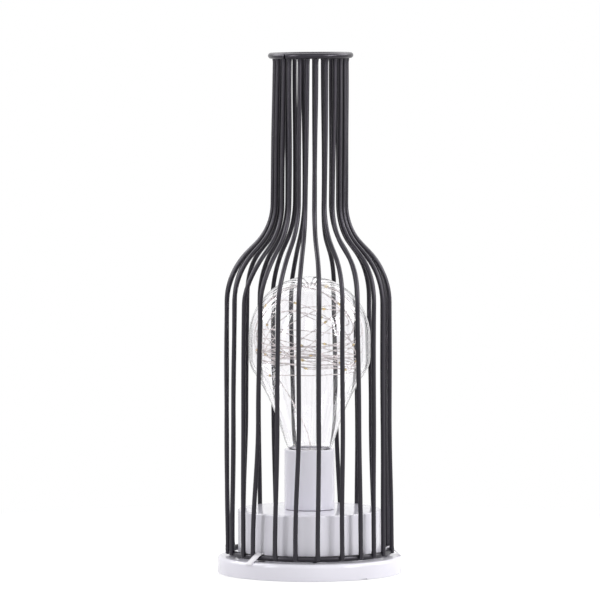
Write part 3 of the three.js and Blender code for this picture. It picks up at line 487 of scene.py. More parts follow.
def block(bm, x0, x1, y0, y1, z0, z1, edge=0.0, segments=2):
    """A block between two corners, with its edges eased."""
    made = bmesh.ops.create_cube(bm, size=1)["verts"]
    for v in made:
        v.co = Vector((
            (x0 + x1) / 2 + v.co.x * (x1 - x0),
            (y0 + y1) / 2 + v.co.y * (y1 - y0),
            (z0 + z1) / 2 + v.co.z * (z1 - z0)))
    if edge:
        edges = list({e for v in made for e in v.link_edges})
        bmesh.ops.bevel(bm, geom=edges, offset=edge, segments=segments, affect="EDGES", profile=0.5)


def rod(bm, diameter, z0, z1, at=Vector(), edge=0.0, facets=ROD_FACETS):
    """An upright rod between two heights, with its end edges eased."""
    r = diameter / 2
    line = [(r, z0), (r, z1)]
    if edge:
        line = low_corner(r, z0, edge, 3) + high_corner(r, z1, edge, 3)
    lathe(bm, [(0, z0), *line, (0, z1)], facets, Matrix.Translation(at))


def turn_all(bm, matrix, first=0):
    """Moves the corners of a mesh from the first one given on."""
    bm.verts.ensure_lookup_table()
    for v in bm.verts[first:]:
        v.co = matrix @ v.co


def facing(azimuth):
    return Matrix.Rotation(math.radians(azimuth - 90), 4, "Z")


def shade(mesh, smooth):
    mesh.polygons.foreach_set("use_smooth", [True] * len(mesh.polygons))
    mesh.set_sharp_from_angle(angle=math.radians(smooth))


def to_object(name, bm, smooth=SMOOTH):
    bmesh.ops.recalc_face_normals(bm, faces=bm.faces)
    mesh = bpy.data.meshes.new(name)
    bm.to_mesh(mesh)
    bm.free()
    mesh.transform(Matrix.Scale(MM, 4))
    shade(mesh, smooth)
    obj = bpy.data.objects.new(name, mesh)
    bpy.context.scene.collection.objects.link(obj)
    return obj


def turned_piece(name, profile, facets, smooth=SMOOTH, place=Matrix()):
    bm = bmesh.new()
    lathe(bm, profile, facets, place)
    return to_object(name, bm, smooth)


def block_piece(name, *corners, edge=0.0, azimuth=90):
    """A block whose +X side faces an azimuth."""
    bm = bmesh.new()
    block(bm, *corners, edge=edge)
    turn_all(bm, facing(azimuth))
    return to_object(name, bm)


def rod_piece(name, *sizes, **options):
    bm = bmesh.new()
    rod(bm, *sizes, **options)
    return to_object(name, bm)


def wire_piece(name, points, diameter, sides, ease, smooth=WIRE_SMOOTH, shape=None):
    bm = bmesh.new()
    sweep(bm, points, diameter / 2, sides, ease, shape)
    return to_object(name, bm, smooth)


def carve(obj, tools, operation, smooth=SMOOTH):
    """Cuts or joins other objects into one, and removes them."""
    for tool in tools:
        change = obj.modifiers.new("change", "BOOLEAN")
        change.object = tool
        change.operation = operation
        change.solver = "EXACT"
    bpy.context.view_layer.update()
    graph = bpy.context.evaluated_depsgraph_get()
    mesh = bpy.data.meshes.new_from_object(obj.evaluated_get(graph))
    obj.modifiers.clear()
    obj.data = mesh
    shade(mesh, smooth)
    for tool in tools:
        bpy.data.objects.remove(tool)


def dress(obj, look, nodes, body=BODY):
    """Gives a piece its finish and its place on a body, in the stead of CAD nodes."""
    obj.data.materials.clear()
    obj.data.materials.append(look)
    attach(obj, body)
    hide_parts(*nodes)


# Finishes.

def material(name):
    """A new material, with its node tree and its shader."""
    made = bpy.data.materials.new(name)
    made.use_nodes = True
    return made, made.node_tree, made.node_tree.nodes["Principled BSDF"]


def put(node, **values):
    """Sets a node's inputs. The names have underscores for spaces."""
    for name, value in values.items():
        node.inputs[name.replace("_", " ")].default_value = value


def noise(tree, scale, detail):
    coord = tree.nodes.new("ShaderNodeTexCoord")
    texture = tree.nodes.new("ShaderNodeTexNoise")
    put(texture, Scale=scale, Detail=detail)
    tree.links.new(coord.outputs["Object"], texture.inputs["Vector"])
    return texture.outputs["Fac"]


def spread(tree, value, low, high, from_low=0.3, from_high=0.7):
    """Maps a value's range to another one."""
    node = tree.nodes.new("ShaderNodeMapRange")
    put(node, From_Min=from_low, From_Max=from_high, To_Min=low, To_Max=high)
    tree.links.new(value, node.inputs["Value"])
    return node.outputs["Result"]


def two_tone(tree, value, first, second, low=0.3, high=0.7):
    ramp = tree.nodes.new("ShaderNodeValToRGB")
    ramp.color_ramp.elements[0].position = low
    ramp.color_ramp.elements[0].color = (*first, 1)
    ramp.color_ramp.elements[1].position = high
    ramp.color_ramp.elements[1].color = (*second, 1)
    tree.links.new(value, ramp.inputs["Fac"])
    return ramp.outputs["Color"]


def finish(name, tones, gloss, metal=0.0, tone_scale=60, gloss_scale=250, grain_scale=900, grain=0.05,
           grain_depth=0.0001, specular=0.5, **sockets):
    """A finish whose colour, gloss and surface vary with noise at the scale of the real one."""
    made, tree, shader = material(name)
    put(shader, Metallic=metal, Specular_IOR_Level=specular, **sockets)
    tone = two_tone(tree, noise(tree, tone_scale, detail=4), *tones)
    tree.links.new(tone, shader.inputs["Base Color"])
    rough = spread(tree, noise(tree, gloss_scale, detail=3), *gloss)
    tree.links.new(rough, shader.inputs["Roughness"])
    bump = tree.nodes.new("ShaderNodeBump")
    put(bump, Strength=grain, Distance=grain_depth)
    tree.links.new(noise(tree, grain_scale, detail=2), bump.inputs["Height"])
    tree.links.new(bump.outputs["Normal"], shader.inputs["Normal"])
    return made


COATED_WIRE = finish(
    "coated_wire", ((0.004, 0.0034, 0.0052), (0.007, 0.0064, 0.0092)), (0.28, 0.34), tone_scale=90,
    grain_scale=1200, grain=0.03, specular=0.49, Specular_Tint=(0.92, 0.87, 1.0, 1))
WHITE_GLOSS = finish(
    "white_gloss", ((0.735, 0.72, 0.79), (0.765, 0.75, 0.82)), (0.08, 0.14), tone_scale=25,
    grain_scale=700, grain=0.06)
WHITE_NYLON = finish(
    "white_nylon", ((0.7, 0.685, 0.725), (0.76, 0.745, 0.785)), (0.35, 0.5), tone_scale=120, grain=0.1)
CLEAR_BULB = finish(
    "clear_bulb", ((0.976, 0.97, 0.985), (0.988, 0.982, 0.994)), (0.01, 0.04), tone_scale=30,
    gloss_scale=60, grain_scale=45, grain=0.03, grain_depth=0.0004, Transmission_Weight=1.0, IOR=1.42)
STRING_WIRE = finish(
    "string_wire", ((0.5, 0.46, 0.465), (0.72, 0.66, 0.66)), (0.25, 0.4), metal=1.0, tone_scale=120)
LIGHT_RESIN = finish(
    "light_resin", ((1.0, 0.84, 0.46), (1.0, 0.92, 0.68)), (0.05, 0.15), tone_scale=300,
    grain_scale=400, Transmission_Weight=0.75, IOR=1.4)
LIGHT_CHIP = finish(
    "light_chip", ((0.9, 0.55, 0.14), (0.95, 0.68, 0.26)), (0.4, 0.6), tone_scale=700)
BRIGHT_STEEL = finish(
    "bright_steel", ((0.5, 0.5, 0.51), (0.62, 0.62, 0.63)), (0.22, 0.38), metal=1.0, grain=0.1)
CELL_JACKET = finish(
    "cell_jacket", ((0.035, 0.055, 0.075), (0.05, 0.07, 0.095)), (0.25, 0.4), tone_scale=80)
DARK_PLASTIC = finish(
    "dark_plastic", ((0.014, 0.014, 0.015), (0.022, 0.022, 0.023)), (0.4, 0.55), grain=0.2)
RED_SHEATH = finish("red_sheath", ((0.4, 0.02, 0.012), (0.48, 0.03, 0.018)), (0.4, 0.55))
BLACK_SHEATH = finish("black_sheath", ((0.01, 0.01, 0.011), (0.016, 0.016, 0.017)), (0.4, 0.55))
BEIGE_LACQUER = finish("beige_lacquer", ((0.55, 0.4, 0.22), (0.63, 0.48, 0.28)), (0.3, 0.45))
GREY_RUBBER = finish("grey_rubber", ((0.4, 0.4, 0.41), (0.47, 0.47, 0.48)), (0.75, 0.95), grain=0.4)


# Cage.

def bottle_side():
    """The side of the bottle as the wire's centre follows it, from the foot up, and its shoulder."""
    shoulder_r = CAGE_R - BODY_TAPER
    mouth_r = NECK_R - NECK_TAPER
    slope = math.radians(SHOULDER_SLOPE)
    bends = HOLLOW_R + CROWN_R
    slant = (shoulder_r - NECK_R - bends * (1 - math.cos(slope))) / math.tan(slope)
    shoulder_z = NECK_FOOT_Z - bends * math.sin(slope) - slant
    foot = FOOT_RING_Z + FOOT_RING_D / 2 - FOOT_INTO
    top = TOP_RING_Z - TOP_RING_D / 2 + TOP_INTO
    line = []
    for i in range(SIDE_STEPS):
        part = i / SIDE_STEPS
        line.append((mix(CAGE_R, shoulder_r, part), mix(foot, shoulder_z, part)))
    line += arc(shoulder_r - CROWN_R, shoulder_z, CROWN_R, 0, SHOULDER_SLOPE, 12)
    line += arc(NECK_R + HOLLOW_R, NECK_FOOT_Z, HOLLOW_R, 180 + SHOULDER_SLOPE, 180, 10)
    for i in range(1, NECK_STEPS + 1):
        part = i / NECK_STEPS
        line.append((mix(NECK_R, mouth_r, part ** 2), mix(NECK_FOOT_Z, top, part)))
    return line, shoulder_z


SIDE, SHOULDER_Z = bottle_side()
SLOPE_Z = (SHOULDER_Z + NECK_FOOT_Z) / 2
STRAY_LEVELS = [UPRIGHT_Z, SIDE_STRAY_Z, SHOULDER_Z, SLOPE_Z, NECK_FOOT_Z, UPRIGHT_TOP_Z]


def sway(z):
    """How far the whole cage sways aside at a height."""
    return Vector((-CAGE_SWAY * math.sin(2 * math.pi * (z - FLANGE_H) / SWAY_LENGTH), 0, 0))


def solid_middle(node, z):
    """The middle of an upright's solid where a level plane cuts it."""
    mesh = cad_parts[node].data
    cut = []
    for edge in mesh.edges:
        low, high = sorted((mesh.vertices[v].co / MM for v in edge.vertices), key=lambda at: at.z)
        if low.z <= z < high.z:
            cut.append(low.lerp(high, (z - low.z) / (high.z - low.z)))
    xs, ys = [at.x for at in cut], [at.y for at in cut]
    return Vector(((min(xs) + max(xs)) / 2, (min(ys) + max(ys)) / 2, z))


def strays(node, home):
    """How far an upright's solid strays from its place round the cage at each level, in degrees."""
    found = []
    for level in STRAY_LEVELS:
        z = max(UPRIGHT_Z + CUT_INSET, min(UPRIGHT_TOP_Z - CUT_INSET, level))
        middle = solid_middle(node, z) - sway(z)
        azimuth = math.degrees(math.atan2(middle.x, -middle.y))
        found.append((azimuth - home + 180) % 360 - 180)
    return found


def eased_stray(found, z):
    """The stray at a height, eased from each level to the next."""
    stray = found[0]
    for k in range(1, len(found)):
        stray += (found[k] - found[k - 1]) * smoothstep(z, STRAY_LEVELS[k - 1], STRAY_LEVELS[k])
    return stray


def upright_weld(at, centre, way):
    """Swells an upright's skin where it meets the rings."""
    outward = Vector((centre.x, centre.y, 0)).normalized()
    foot = math.exp(-((centre.z - FOOT_RING_Z - FOOT_RING_D / 2) / WELD_L) ** 2)
    top = math.exp(-((centre.z - TOP_RING_Z + TOP_RING_D / 2) / WELD_L) ** 2)
    return at + (outward * top + way * (foot + top)) * WELD_SWELL


def upright(index):
    number = f"{index + 1:02d}"
    node = f"cage_upright_{number}"
    home = 360 / UPRIGHTS * (index + 0.5)
    found = strays(node, home)
    points = []
    for radius, z in SIDE:
        free = smoothstep(z, FOOT_RING_Z, WAVE_FROM_Z) * (1 - smoothstep(z, WAVE_TO_Z, TOP_RING_Z))
        out = WAVE * free * math.sin(z / OUT_WAVE + OUT_PHASE * index)
        aside = WAVE * free * math.sin(z / ASIDE_WAVE + ASIDE_PHASE * index)
        azimuth = home + eased_stray(found, z) + math.degrees(aside / radius)
        points.append(polar(radius + out, azimuth, z) + sway(z))
    fine = []
    for a, b in zip(points, points[1:]):
        at_foot = min(a.z, b.z) < FOOT_RING_Z + FOOT_WELD_H
        at_top = max(a.z, b.z) > TOP_RING_Z - TOP_WELD_H
        steps = WELD_STEPS if at_foot or at_top else 1
        fine += [a.lerp(b, k / steps) for k in range(steps)]
    fine.append(points[-1])
    wire = wire_piece(f"wire_upright_{number}", fine, WIRE_D, WIRE_SIDES, WIRE_EASE, shape=upright_weld)
    dress(wire, COATED_WIRE, [node])


for place in range(UPRIGHTS):
    upright(place)


def bent_ring(name, node, radius, z, tilt, joint, diameter, step, drops=()):
    """A ring bent from wire, whose ends meet with a step. Drops of weld hang at the azimuths given."""
    gap = math.degrees(RING_ENDS_GAP / radius)
    points = []
    for i in range(RING_STEPS + 1):
        part = i / RING_STEPS
        azimuth = joint + gap / 2 + (360 - gap) * part
        swing = step * smoothstep(part, 1 - RING_END_PART, 1)
        rise = tilt * math.sin(math.radians(azimuth))
        points.append(polar(radius + swing, azimuth, z + rise) + sway(z))

    def weld(at, centre, way):
        for azimuth, size in drops:
            near = (centre - polar(radius, azimuth, centre.z)).length
            at = at + Vector((0, 0, -size)) * math.exp(-(near / WELD_L) ** 2) * max(0, -way.z)
        return at

    ring = wire_piece(name, points, diameter, RING_SIDES, RING_EASE, shape=weld)
    dress(ring, COATED_WIRE, [node])


bent_ring("wire_top_ring", "cage_top_ring", TOP_RING_R, TOP_RING_Z, TOP_RING_TILT, TOP_JOINT, TOP_RING_D,
          RING_END_STEP)
bent_ring("wire_foot_ring", "cage_foot_ring", FOOT_RING_R, FOOT_RING_Z, 0, FOOT_JOINT, FOOT_RING_D,
          -RING_END_STEP, WELD_DROPS)


# Base.

def screw_place(index, z):
    return polar(SCREW_PATH_R, FIRST_SCREW + 360 / SCREWS * index, z)


def base_shell():
    inner = FLANGE_R - SHELL_WALL
    flange_top = FLANGE_H - SHELL_WALL
    drum_in = DRUM_R - SHELL_WALL
    drum_top = DRUM_H - SHELL_WALL
    hole = SPIGOT_R + FIT
    line = [(inner, RIM_LIFT), (FLANGE_R - RIM_CHAMFER, RIM_LIFT), (FLANGE_R, RIM_LIFT + RIM_CHAMFER)]
    line += high_corner(FLANGE_R, FLANGE_H, FLANGE_EDGE_R, 10)
    line += [(DRUM_R + DRUM_FOOT_EASE, FLANGE_H), (DRUM_R, FLANGE_H + DRUM_FOOT_EASE)]
    line += high_corner(DRUM_R, DRUM_H, DRUM_EDGE_R, 8)
    line += [(hole, DRUM_H), (hole, drum_top), (drum_in, drum_top), (drum_in, flange_top)]
    line.append((inner, flange_top))
    shell = turned_piece("shell", line, BASE_FACETS)
    added, cuts = [], []
    for i in range(SCREWS):
        at = screw_place(i, 0)
        added.append(rod_piece("boss", BOSS_D, COVER_TOP_Z + FIT, FLANGE_H - SHELL_WALL / 2, at))
        bore_top = COVER_Z + SCREW_HEAD_T + SCREW_L + FIT
        cuts.append(rod_piece("bore", SCREW_D + 2 * FIT, COVER_TOP_Z, bore_top, at))
    for azimuth in (POST_AZIMUTH, POST_AZIMUTH + 180):
        at = polar(POST_PATH_R, azimuth, 0)
        added.append(rod_piece("post", POST_D, TRAY_TOP_Z + FIT, DRUM_H - SHELL_WALL / 2, at))
    half, side = TONGUE_T / 2 + FIT, TONGUE_W / 2 + FIT
    for azimuth in TONGUE_AZIMUTHS:
        slot = (TONGUE_R - half, TONGUE_R + half, -side, side, 0, FLANGE_H + FIT)
        cuts.append(block_piece("slot", *slot, azimuth=azimuth))
    pry = (FLANGE_R - SHELL_WALL / 2, FLANGE_R + PRY_W, -PRY_W / 2, PRY_W / 2, 0, RIM_LIFT + PRY_H)
    cuts.append(block_piece("pry", *pry, azimuth=PRY_AZIMUTH))
    carve(shell, added, "UNION")
    carve(shell, cuts, "DIFFERENCE")
    shell.name = "base_moulding"
    dress(shell, WHITE_GLOSS, ["base_shell"])


def bottom_cover():
    line = [(0, COVER_Z)] + low_corner(COVER_R, COVER_Z, COVER_EDGE_R, 3)
    line += [(COVER_R, COVER_TOP_Z), (0, COVER_TOP_Z)]
    cover = turned_piece("cover_moulding", line, BASE_FACETS)
    below, above = COVER_Z - FIT, COVER_TOP_Z + FIT
    x, y = DOOR_X + DOOR_GAP, DOOR_Y + DOOR_GAP
    notch = PIN_D / 2 + DOOR_GAP / 2
    reach = DOOR_Y + PIN_L + DOOR_GAP
    long, wide = SWITCH_SLOT_L / 2, SWITCH_SLOT_W / 2
    cuts = [
        block_piece("tool", -x, x, -y, y, below, above),
        block_piece("tool", HINGE_X - notch, HINGE_X + notch, -reach, reach, HINGE_Z - notch, above),
        block_piece("tool", -long, long, SWITCH_Y - wide, SWITCH_Y + wide, below, above),
    ]
    for i in range(SCREWS):
        for diameter, top in ((SCREW_D, above), (SCREW_HEAD_D, COVER_Z + SCREW_HEAD_T + FIT)):
            cuts.append(rod_piece("tool", diameter + 2 * FIT, below, top, screw_place(i, 0)))
    carve(cover, cuts, "DIFFERENCE")
    dress(cover, WHITE_GLOSS, ["bottom_cover"])


def battery_door():
    plate = (HINGE_X, DOOR_X, -DOOR_Y, DOOR_Y, COVER_Z, COVER_Z + DOOR_T)
    door = block_piece("door_moulding", *plate, edge=DOOR_EASE)
    bm = bmesh.new()
    rod(bm, BARREL_D, -DOOR_Y, DOOR_Y, edge=BARREL_EASE)
    rod(bm, PIN_D, -DOOR_Y - PIN_L, -DOOR_Y + PIN_INTO, edge=PIN_EASE, facets=PIN_FACETS)
    rod(bm, PIN_D, DOOR_Y - PIN_INTO, DOOR_Y + PIN_L, edge=PIN_EASE, facets=PIN_FACETS)
    turn_all(bm, Matrix.Translation((HINGE_X, 0, HINGE_Z)) @ Matrix.Rotation(math.pi / 2, 4, "X"))
    carve(door, [to_object("barrel", bm)], "UNION")
    notch_x, half = DOOR_X - FINGER_DEPTH, FINGER_W / 2
    finger = (notch_x, DOOR_X + FIT, -half, half, 0, COVER_TOP_Z)
    cuts = [block_piece("finger", *finger, edge=FINGER_EASE)]
    for i in range(GROOVES):
        x = notch_x - GROOVE_FROM - GROOVE_PITCH * i
        half = GROOVE_L / 2 - GROOVE_STEP * i
        low, high = COVER_Z - CUT_PAST, COVER_Z + GROOVE_DEPTH
        groove = (x - GROOVE_W / 2, x + GROOVE_W / 2, -half, half, low, high)
        cuts.append(block_piece("groove", *groove, edge=GROOVE_EASE))
    carve(door, cuts, "DIFFERENCE")
    dress(door, WHITE_GLOSS, ["battery_door"], "door")


def rubber_foot(index):
    at = polar(FOOT_PATH_R, 90 + 360 / FEET * index, 0)
    name = f"rubber_foot_{index + 1}"
    foot = rod_piece(name, FOOT_D, 0, FOOT_T, at, edge=FOOT_EASE, facets=DISC_FACETS)
    dress(foot, GREY_RUBBER, [f"foot_{index + 1}"])


def cover_screw(index):
    """A screw with a domed head and a crossed recess, made with its head on the floor."""
    head, shank, tip = SCREW_HEAD_D / 2, SCREW_D / 2, SCREW_HEAD_T + SCREW_L
    line = [(0, 0)] + [(head * share, z) for share, z in HEAD_DOME]
    line += [(head, SCREW_HEAD_T), (shank, SCREW_HEAD_T)]
    for k in range(THREADS):
        low = SCREW_HEAD_T + THREAD_END + THREAD_L * k / THREADS
        line += [(shank - THREAD_DEPTH, low), (shank, low + THREAD_RISE)]
    line += [(shank - THREAD_DEPTH, tip - THREAD_END), (0, tip)]
    screw = turned_piece(f"steel_screw_{index + 1}", line, SCREW_FACETS, FINE_SMOOTH)
    long, wide = RECESS_L / 2, RECESS_W / 2
    cuts = []
    for x, y in ((long, wide), (wide, long)):
        cuts.append(block_piece("recess", -x, x, -y, y, -CUT_PAST, RECESS_DEPTH))
    carve(screw, cuts, "DIFFERENCE", FINE_SMOOTH)
    screw.data.transform(Matrix.Translation(screw_place(index, COVER_Z) * MM))
    dress(screw, BRIGHT_STEEL, [f"cover_screw_{index + 1}"])


base_shell()
bottom_cover()
battery_door()
for place in range(FEET):
    rubber_foot(place)
for place in range(SCREWS):
    cover_screw(place)


# Tongues.

def tongue_line(end):
    """A tongue's middle line, up through the flange, over the foot ring and down on the flange's edge."""
    anchor_z = FLANGE_H - SHELL_WALL - FIT - TONGUE_T / 2
    edge_r, edge_z = FLANGE_R - FLANGE_EDGE_R, FLANGE_H - FLANGE_EDGE_R
    lie_r = FLANGE_EDGE_R + TONGUE_LIE + TONGUE_T / 2
    out, down = edge_r - FOOT_RING_R, FOOT_RING_Z - edge_z
    leave = math.acos((TONGUE_WRAP_R - lie_r) / math.hypot(out, down)) - math.atan2(down, out)
    leave = math.degrees(leave)
    fold_out, fold_up = TONGUE_FOLD
    line = [(TONGUE_R + TONGUE_ANCHOR, anchor_z), (TONGUE_R + fold_out, anchor_z)]
    line += [(TONGUE_R, anchor_z + fold_up), (TONGUE_R, FLANGE_H)]
    line += arc(FOOT_RING_R, FOOT_RING_Z, TONGUE_WRAP_R, 180, leave, 24)
    last = line[-1]
    tip = arc(edge_r, edge_z, lie_r, leave, end, TONGUE_TIP_STEPS)
    for i in range(1, TONGUE_TIP_STEPS):
        part = i / TONGUE_TIP_STEPS
        line.append((mix(last[0], tip[0][0], part), mix(last[1], tip[0][1], part)))
    return [Vector(point) for point in line + tip]


def tongue(index, azimuth, skew, end):
    line = tongue_line(end)
    thick, ease = TONGUE_T / 2, TONGUE_EASE
    bm = bmesh.new()
    rows = []
    for i, at in enumerate(line):
        along = tangent_at(line, i)
        square = Vector((-along.y, along.x))
        part = max(0, min(1, (at.x - FOOT_RING_R) / (FLANGE_R - FOOT_RING_R)))
        wide = mix(TONGUE_W, TONGUE_TIP_W, part) / 2
        outline = [
            (-wide + ease, -thick), (wide - ease, -thick), (wide, -thick + ease), (wide, thick - ease),
            (wide - ease, thick), (-wide + ease, thick), (-wide, thick - ease), (-wide, -thick + ease),
        ]
        row = []
        for w, h in outline:
            row.append(bm.verts.new((at.x + square.x * h, skew * part + w, at.y + square.y * h)))
        rows.append(row)
    skin(bm, rows)
    turn_all(bm, facing(azimuth))
    piece = to_object(f"nylon_tongue_{index}", bm, WIRE_SMOOTH)
    dress(piece, WHITE_NYLON, [f"cage_tongue_{index}"])


for place, lie in enumerate(zip(TONGUE_AZIMUTHS, TONGUE_SKEWS, TONGUE_ENDS)):
    tongue(place + 1, *lie)


# Sleeve, bulb and stopper.

def neck_sleeve():
    spigot_in = SPIGOT_R - SPIGOT_WALL
    lip_top = DRUM_H - SHELL_WALL - FIT
    bore = SLEEVE_R - SLEEVE_WALL
    line = [(spigot_in, lip_top - LIP_H), (SPIGOT_R, lip_top - LIP_H), (SPIGOT_R + LIP_REACH, lip_top)]
    line += [(SPIGOT_R, lip_top), (SPIGOT_R, SLEEVE_Z)]
    line += low_corner(SLEEVE_R, SLEEVE_Z, SLEEVE_EASE, 4)
    line += high_corner(SLEEVE_R, SLEEVE_TOP_Z, SLEEVE_EDGE_R, 6)
    line += [(bore + SLEEVE_EASE, SLEEVE_TOP_Z), (bore, SLEEVE_TOP_Z - SLEEVE_EASE)]
    line += [(bore, SLEEVE_Z + SLEEVE_WALL), (spigot_in, SLEEVE_Z)]
    sleeve = turned_piece("sleeve_moulding", line, TUBE_FACETS)
    dress(sleeve, WHITE_GLOSS, ["neck_sleeve"])


def bulb_outside():
    """The bulb's outer profile from its plug up to its crown."""
    seat_z = SLEEVE_TOP_Z + FIT
    haunch_z = GLOBE_Z - BELT_H
    haunch = arc(GLOBE_R - HAUNCH_R, haunch_z, HAUNCH_R, -HAUNCH_SLOPE, 0, 12)
    cone_r, cone_z = haunch[0]
    steep = math.tan(math.radians(HAUNCH_SLOPE))
    slight = math.tan(math.radians(THROAT_SLOPE))
    bend_z = (THROAT_R - cone_r + steep * cone_z - slight * THROAT_Z) / (steep - slight)
    bend = (THROAT_R + slight * (bend_z - THROAT_Z), bend_z)
    seat_bend = (THROAT_R - slight * (THROAT_Z - seat_z), seat_z)
    line = [(PLUG_R, PLUG_Z), (PLUG_R, seat_z - PLUG_BEND_H)]
    line += bezier((PLUG_R, seat_z), seat_bend, (THROAT_R, THROAT_Z), 10)
    line += bezier((THROAT_R, THROAT_Z), bend, (cone_r, cone_z), 20)[1:]
    line += haunch[1:]
    line += [(GLOBE_R, mix(haunch_z, GLOBE_Z, i / 4)) for i in range(1, 4)]
    line += arc(0, GLOBE_Z, GLOBE_R, 0, 90, 32)
    line[-1] = (0, BULB_TOP_Z)
    return line


def bulb():
    outside = bulb_outside()
    inside = []
    for i, (radius, z) in enumerate(outside):
        r0, z0 = outside[max(0, i - 1)]
        r1, z1 = outside[min(len(outside) - 1, i + 1)]
        length = math.hypot(r1 - r0, z1 - z0)
        wall = mix(PLUG_WALL, BULB_WALL, smoothstep(z, STOPPER_Z, THIN_WALL_Z))
        inside.append((max(0, radius - wall * (z1 - z0) / length), z + wall * (r1 - r0) / length))
    inside[-1] = (0, BULB_TOP_Z - BULB_WALL)
    envelope = turned_piece("clear_bulb", inside[::-1] + outside, TUBE_FACETS, BULB_SMOOTH)
    dress(envelope, CLEAR_BULB, ["bulb_envelope"])


def stopper():
    r = PLUG_R - PLUG_WALL - FIT
    low, high = STOPPER_Z, STOPPER_Z + STOPPER_T
    line = [(STOPPER_HOLE_R, low)] + low_corner(r, low, STOPPER_EASE, 3)
    line += high_corner(r, high, STOPPER_EASE, 3)
    line += [(STOPPER_HOLE_R + STOPPER_EASE, high), (STOPPER_HOLE_R, high - STOPPER_EASE)]
    disc = turned_piece("stopper_disc", line, DISC_FACETS)
    dress(disc, WHITE_NYLON, ["bulb_stopper"])


neck_sleeve()
bulb()
stopper()


# Light string.

def wander(turn):
    return sum(swing * math.sin(2 * math.pi * waves * turn + start) for swing, waves, start in WANDER)


def winding_point(turn):
    """A point of the turns round the globe, which rise and then cross in slanting rings."""
    slanted = min(SLANT_TURNS, max(0, turn - SLANT_FROM))
    phase = 2 * math.pi * (turn + PRECESSION * slanted) + math.radians(WINDING_PHASE)
    latitude = keyed(MEAN_KEYS, turn) + keyed(SWING_KEYS, turn) * math.sin(phase)
    latitude = math.radians(latitude + wander(turn) * smoothstep(turn, 0, 1))
    radius = WINDING_R * (1 - keyed(DEPTH_KEYS, turn))
    z = GLOBE_Z + radius * math.sin(latitude)
    return polar(radius * math.cos(latitude), -WINDING_START + 360 * turn, z)


def loop_point(turn):
    """A point of the last loops, each over the crown and back around the belt."""
    halves = max(0, 2 * (turn - LOOPS_FROM))
    loop, back = divmod(int(halves), 2)
    angle = math.pi * (halves - int(halves))
    side = polar(1, 90 + LOOP_YAWS[loop], 0)
    front = polar(1, LOOP_YAWS[loop], 0)
    up = Vector((0, 0, 1))
    if back:
        way = (side * math.cos(angle) + front * (-1) ** loop * math.sin(angle)) * WINDING_R
        way -= up * LOOP_DROPS[loop] * math.sin(angle)
    else:
        lean = LOOP_LEANS[loop] + WINDING_R * math.radians(wander(turn))
        way = (up * math.sin(angle) - side * math.cos(angle)) * WINDING_R
        way += front * lean * math.sin(angle)
    if way.z > 0:
        way = way.normalized() * WINDING_R
    return Vector((0, 0, GLOBE_Z)) + way


def eased(points, first):
    """The points with their bends eased from the first one given on."""
    made = points[:first]
    for i in range(first, len(points)):
        near = points[max(0, i - LOOP_EASE):i + LOOP_EASE + 1]
        made.append(sum(near, Vector()) / len(near))
    return made


def string_line():
    """The string's middle line, with the distance along it."""
    start = winding_point(0)
    half_way = (THROAT_Z + start.z) / 2
    middle = Vector((STRING_SPREAD * start.x, STRING_SPREAD * start.y, half_way))
    knots = [Vector((0, 0, z)) for z in (STRING_Z, STOPPER_Z, THROAT_Z)] + [middle, start]
    wound = []
    for i in range(int(WINDING_TURNS * WINDING_STEPS) + 1):
        turn = i / WINDING_STEPS
        wound.append(winding_point(turn).lerp(loop_point(turn), smoothstep(turn, *LOOP_BLEND)))
    first = int(LOOP_BLEND[0] * WINDING_STEPS)
    points = curve(knots, 20)[:-1] + eased(eased(wound, first), first)
    along = [0.0]
    for a, b in zip(points, points[1:]):
        along.append(along[-1] + (b - a).length)
    return points, along


def string_strands(points, along):
    """Two strands twisted about the string's middle line."""
    bm = bmesh.new()
    for start in (0, math.pi):
        line = []
        for i, point in enumerate(points):
            tangent = tangent_at(points, i)
            side = tangent.cross(STRAND_ACROSS).normalized()
            up = tangent.cross(side)
            angle = start + 2 * math.pi * along[i] / STRAND_PITCH
            line.append(point + (side * math.cos(angle) + up * math.sin(angle)) * STRAND_APART)
        sweep(bm, line, STRAND_R, STRAND_SIDES, STRAND_EASE)
    dress(to_object("string_strands", bm, STRING_SMOOTH), STRING_WIRE, ["light_string"])


def string_lights(points, along):
    """Drops of resin along the string, each with a chip in it."""
    profile = [(0, -LED_L / 2)]
    for k in range(1, LED_STEPS):
        part = -1 + 2 * k / LED_STEPS
        profile.append((LED_D / 2 * math.sqrt(1 - part * part) ** LED_TAPER, part * LED_L / 2))
    profile.append((0, LED_L / 2))
    x, y, z = CHIP_X / 2, CHIP_Y / 2, CHIP_Z / 2
    drops, chips = bmesh.new(), bmesh.new()
    middle = LED_FIRST
    while middle < along[-1] - LED_L:
        i = next(k for k, distance in enumerate(along) if distance >= middle)
        tangent = tangent_at(points, i)
        side = tangent.orthogonal().normalized()
        turned = Matrix((side, tangent.cross(side), tangent)).transposed().to_4x4()
        place = Matrix.Translation(points[i]) @ turned
        lathe(drops, profile, LED_FACETS, place)
        first = len(chips.verts)
        block(chips, -x, x, -y, y, -z, z, edge=CHIP_EASE, segments=1)
        turn_all(chips, place, first)
        middle += LED_PITCH
    dress(to_object("string_drops", drops, STRING_SMOOTH), LIGHT_RESIN, ["light_string"])
    dress(to_object("string_chips", chips, FINE_SMOOTH), LIGHT_CHIP, ["light_string"])


STRING_POINTS, STRING_ALONG = string_line()
string_strands(STRING_POINTS, STRING_ALONG)
string_lights(STRING_POINTS, STRING_ALONG)


# Cells, springs and wiring inside the base.

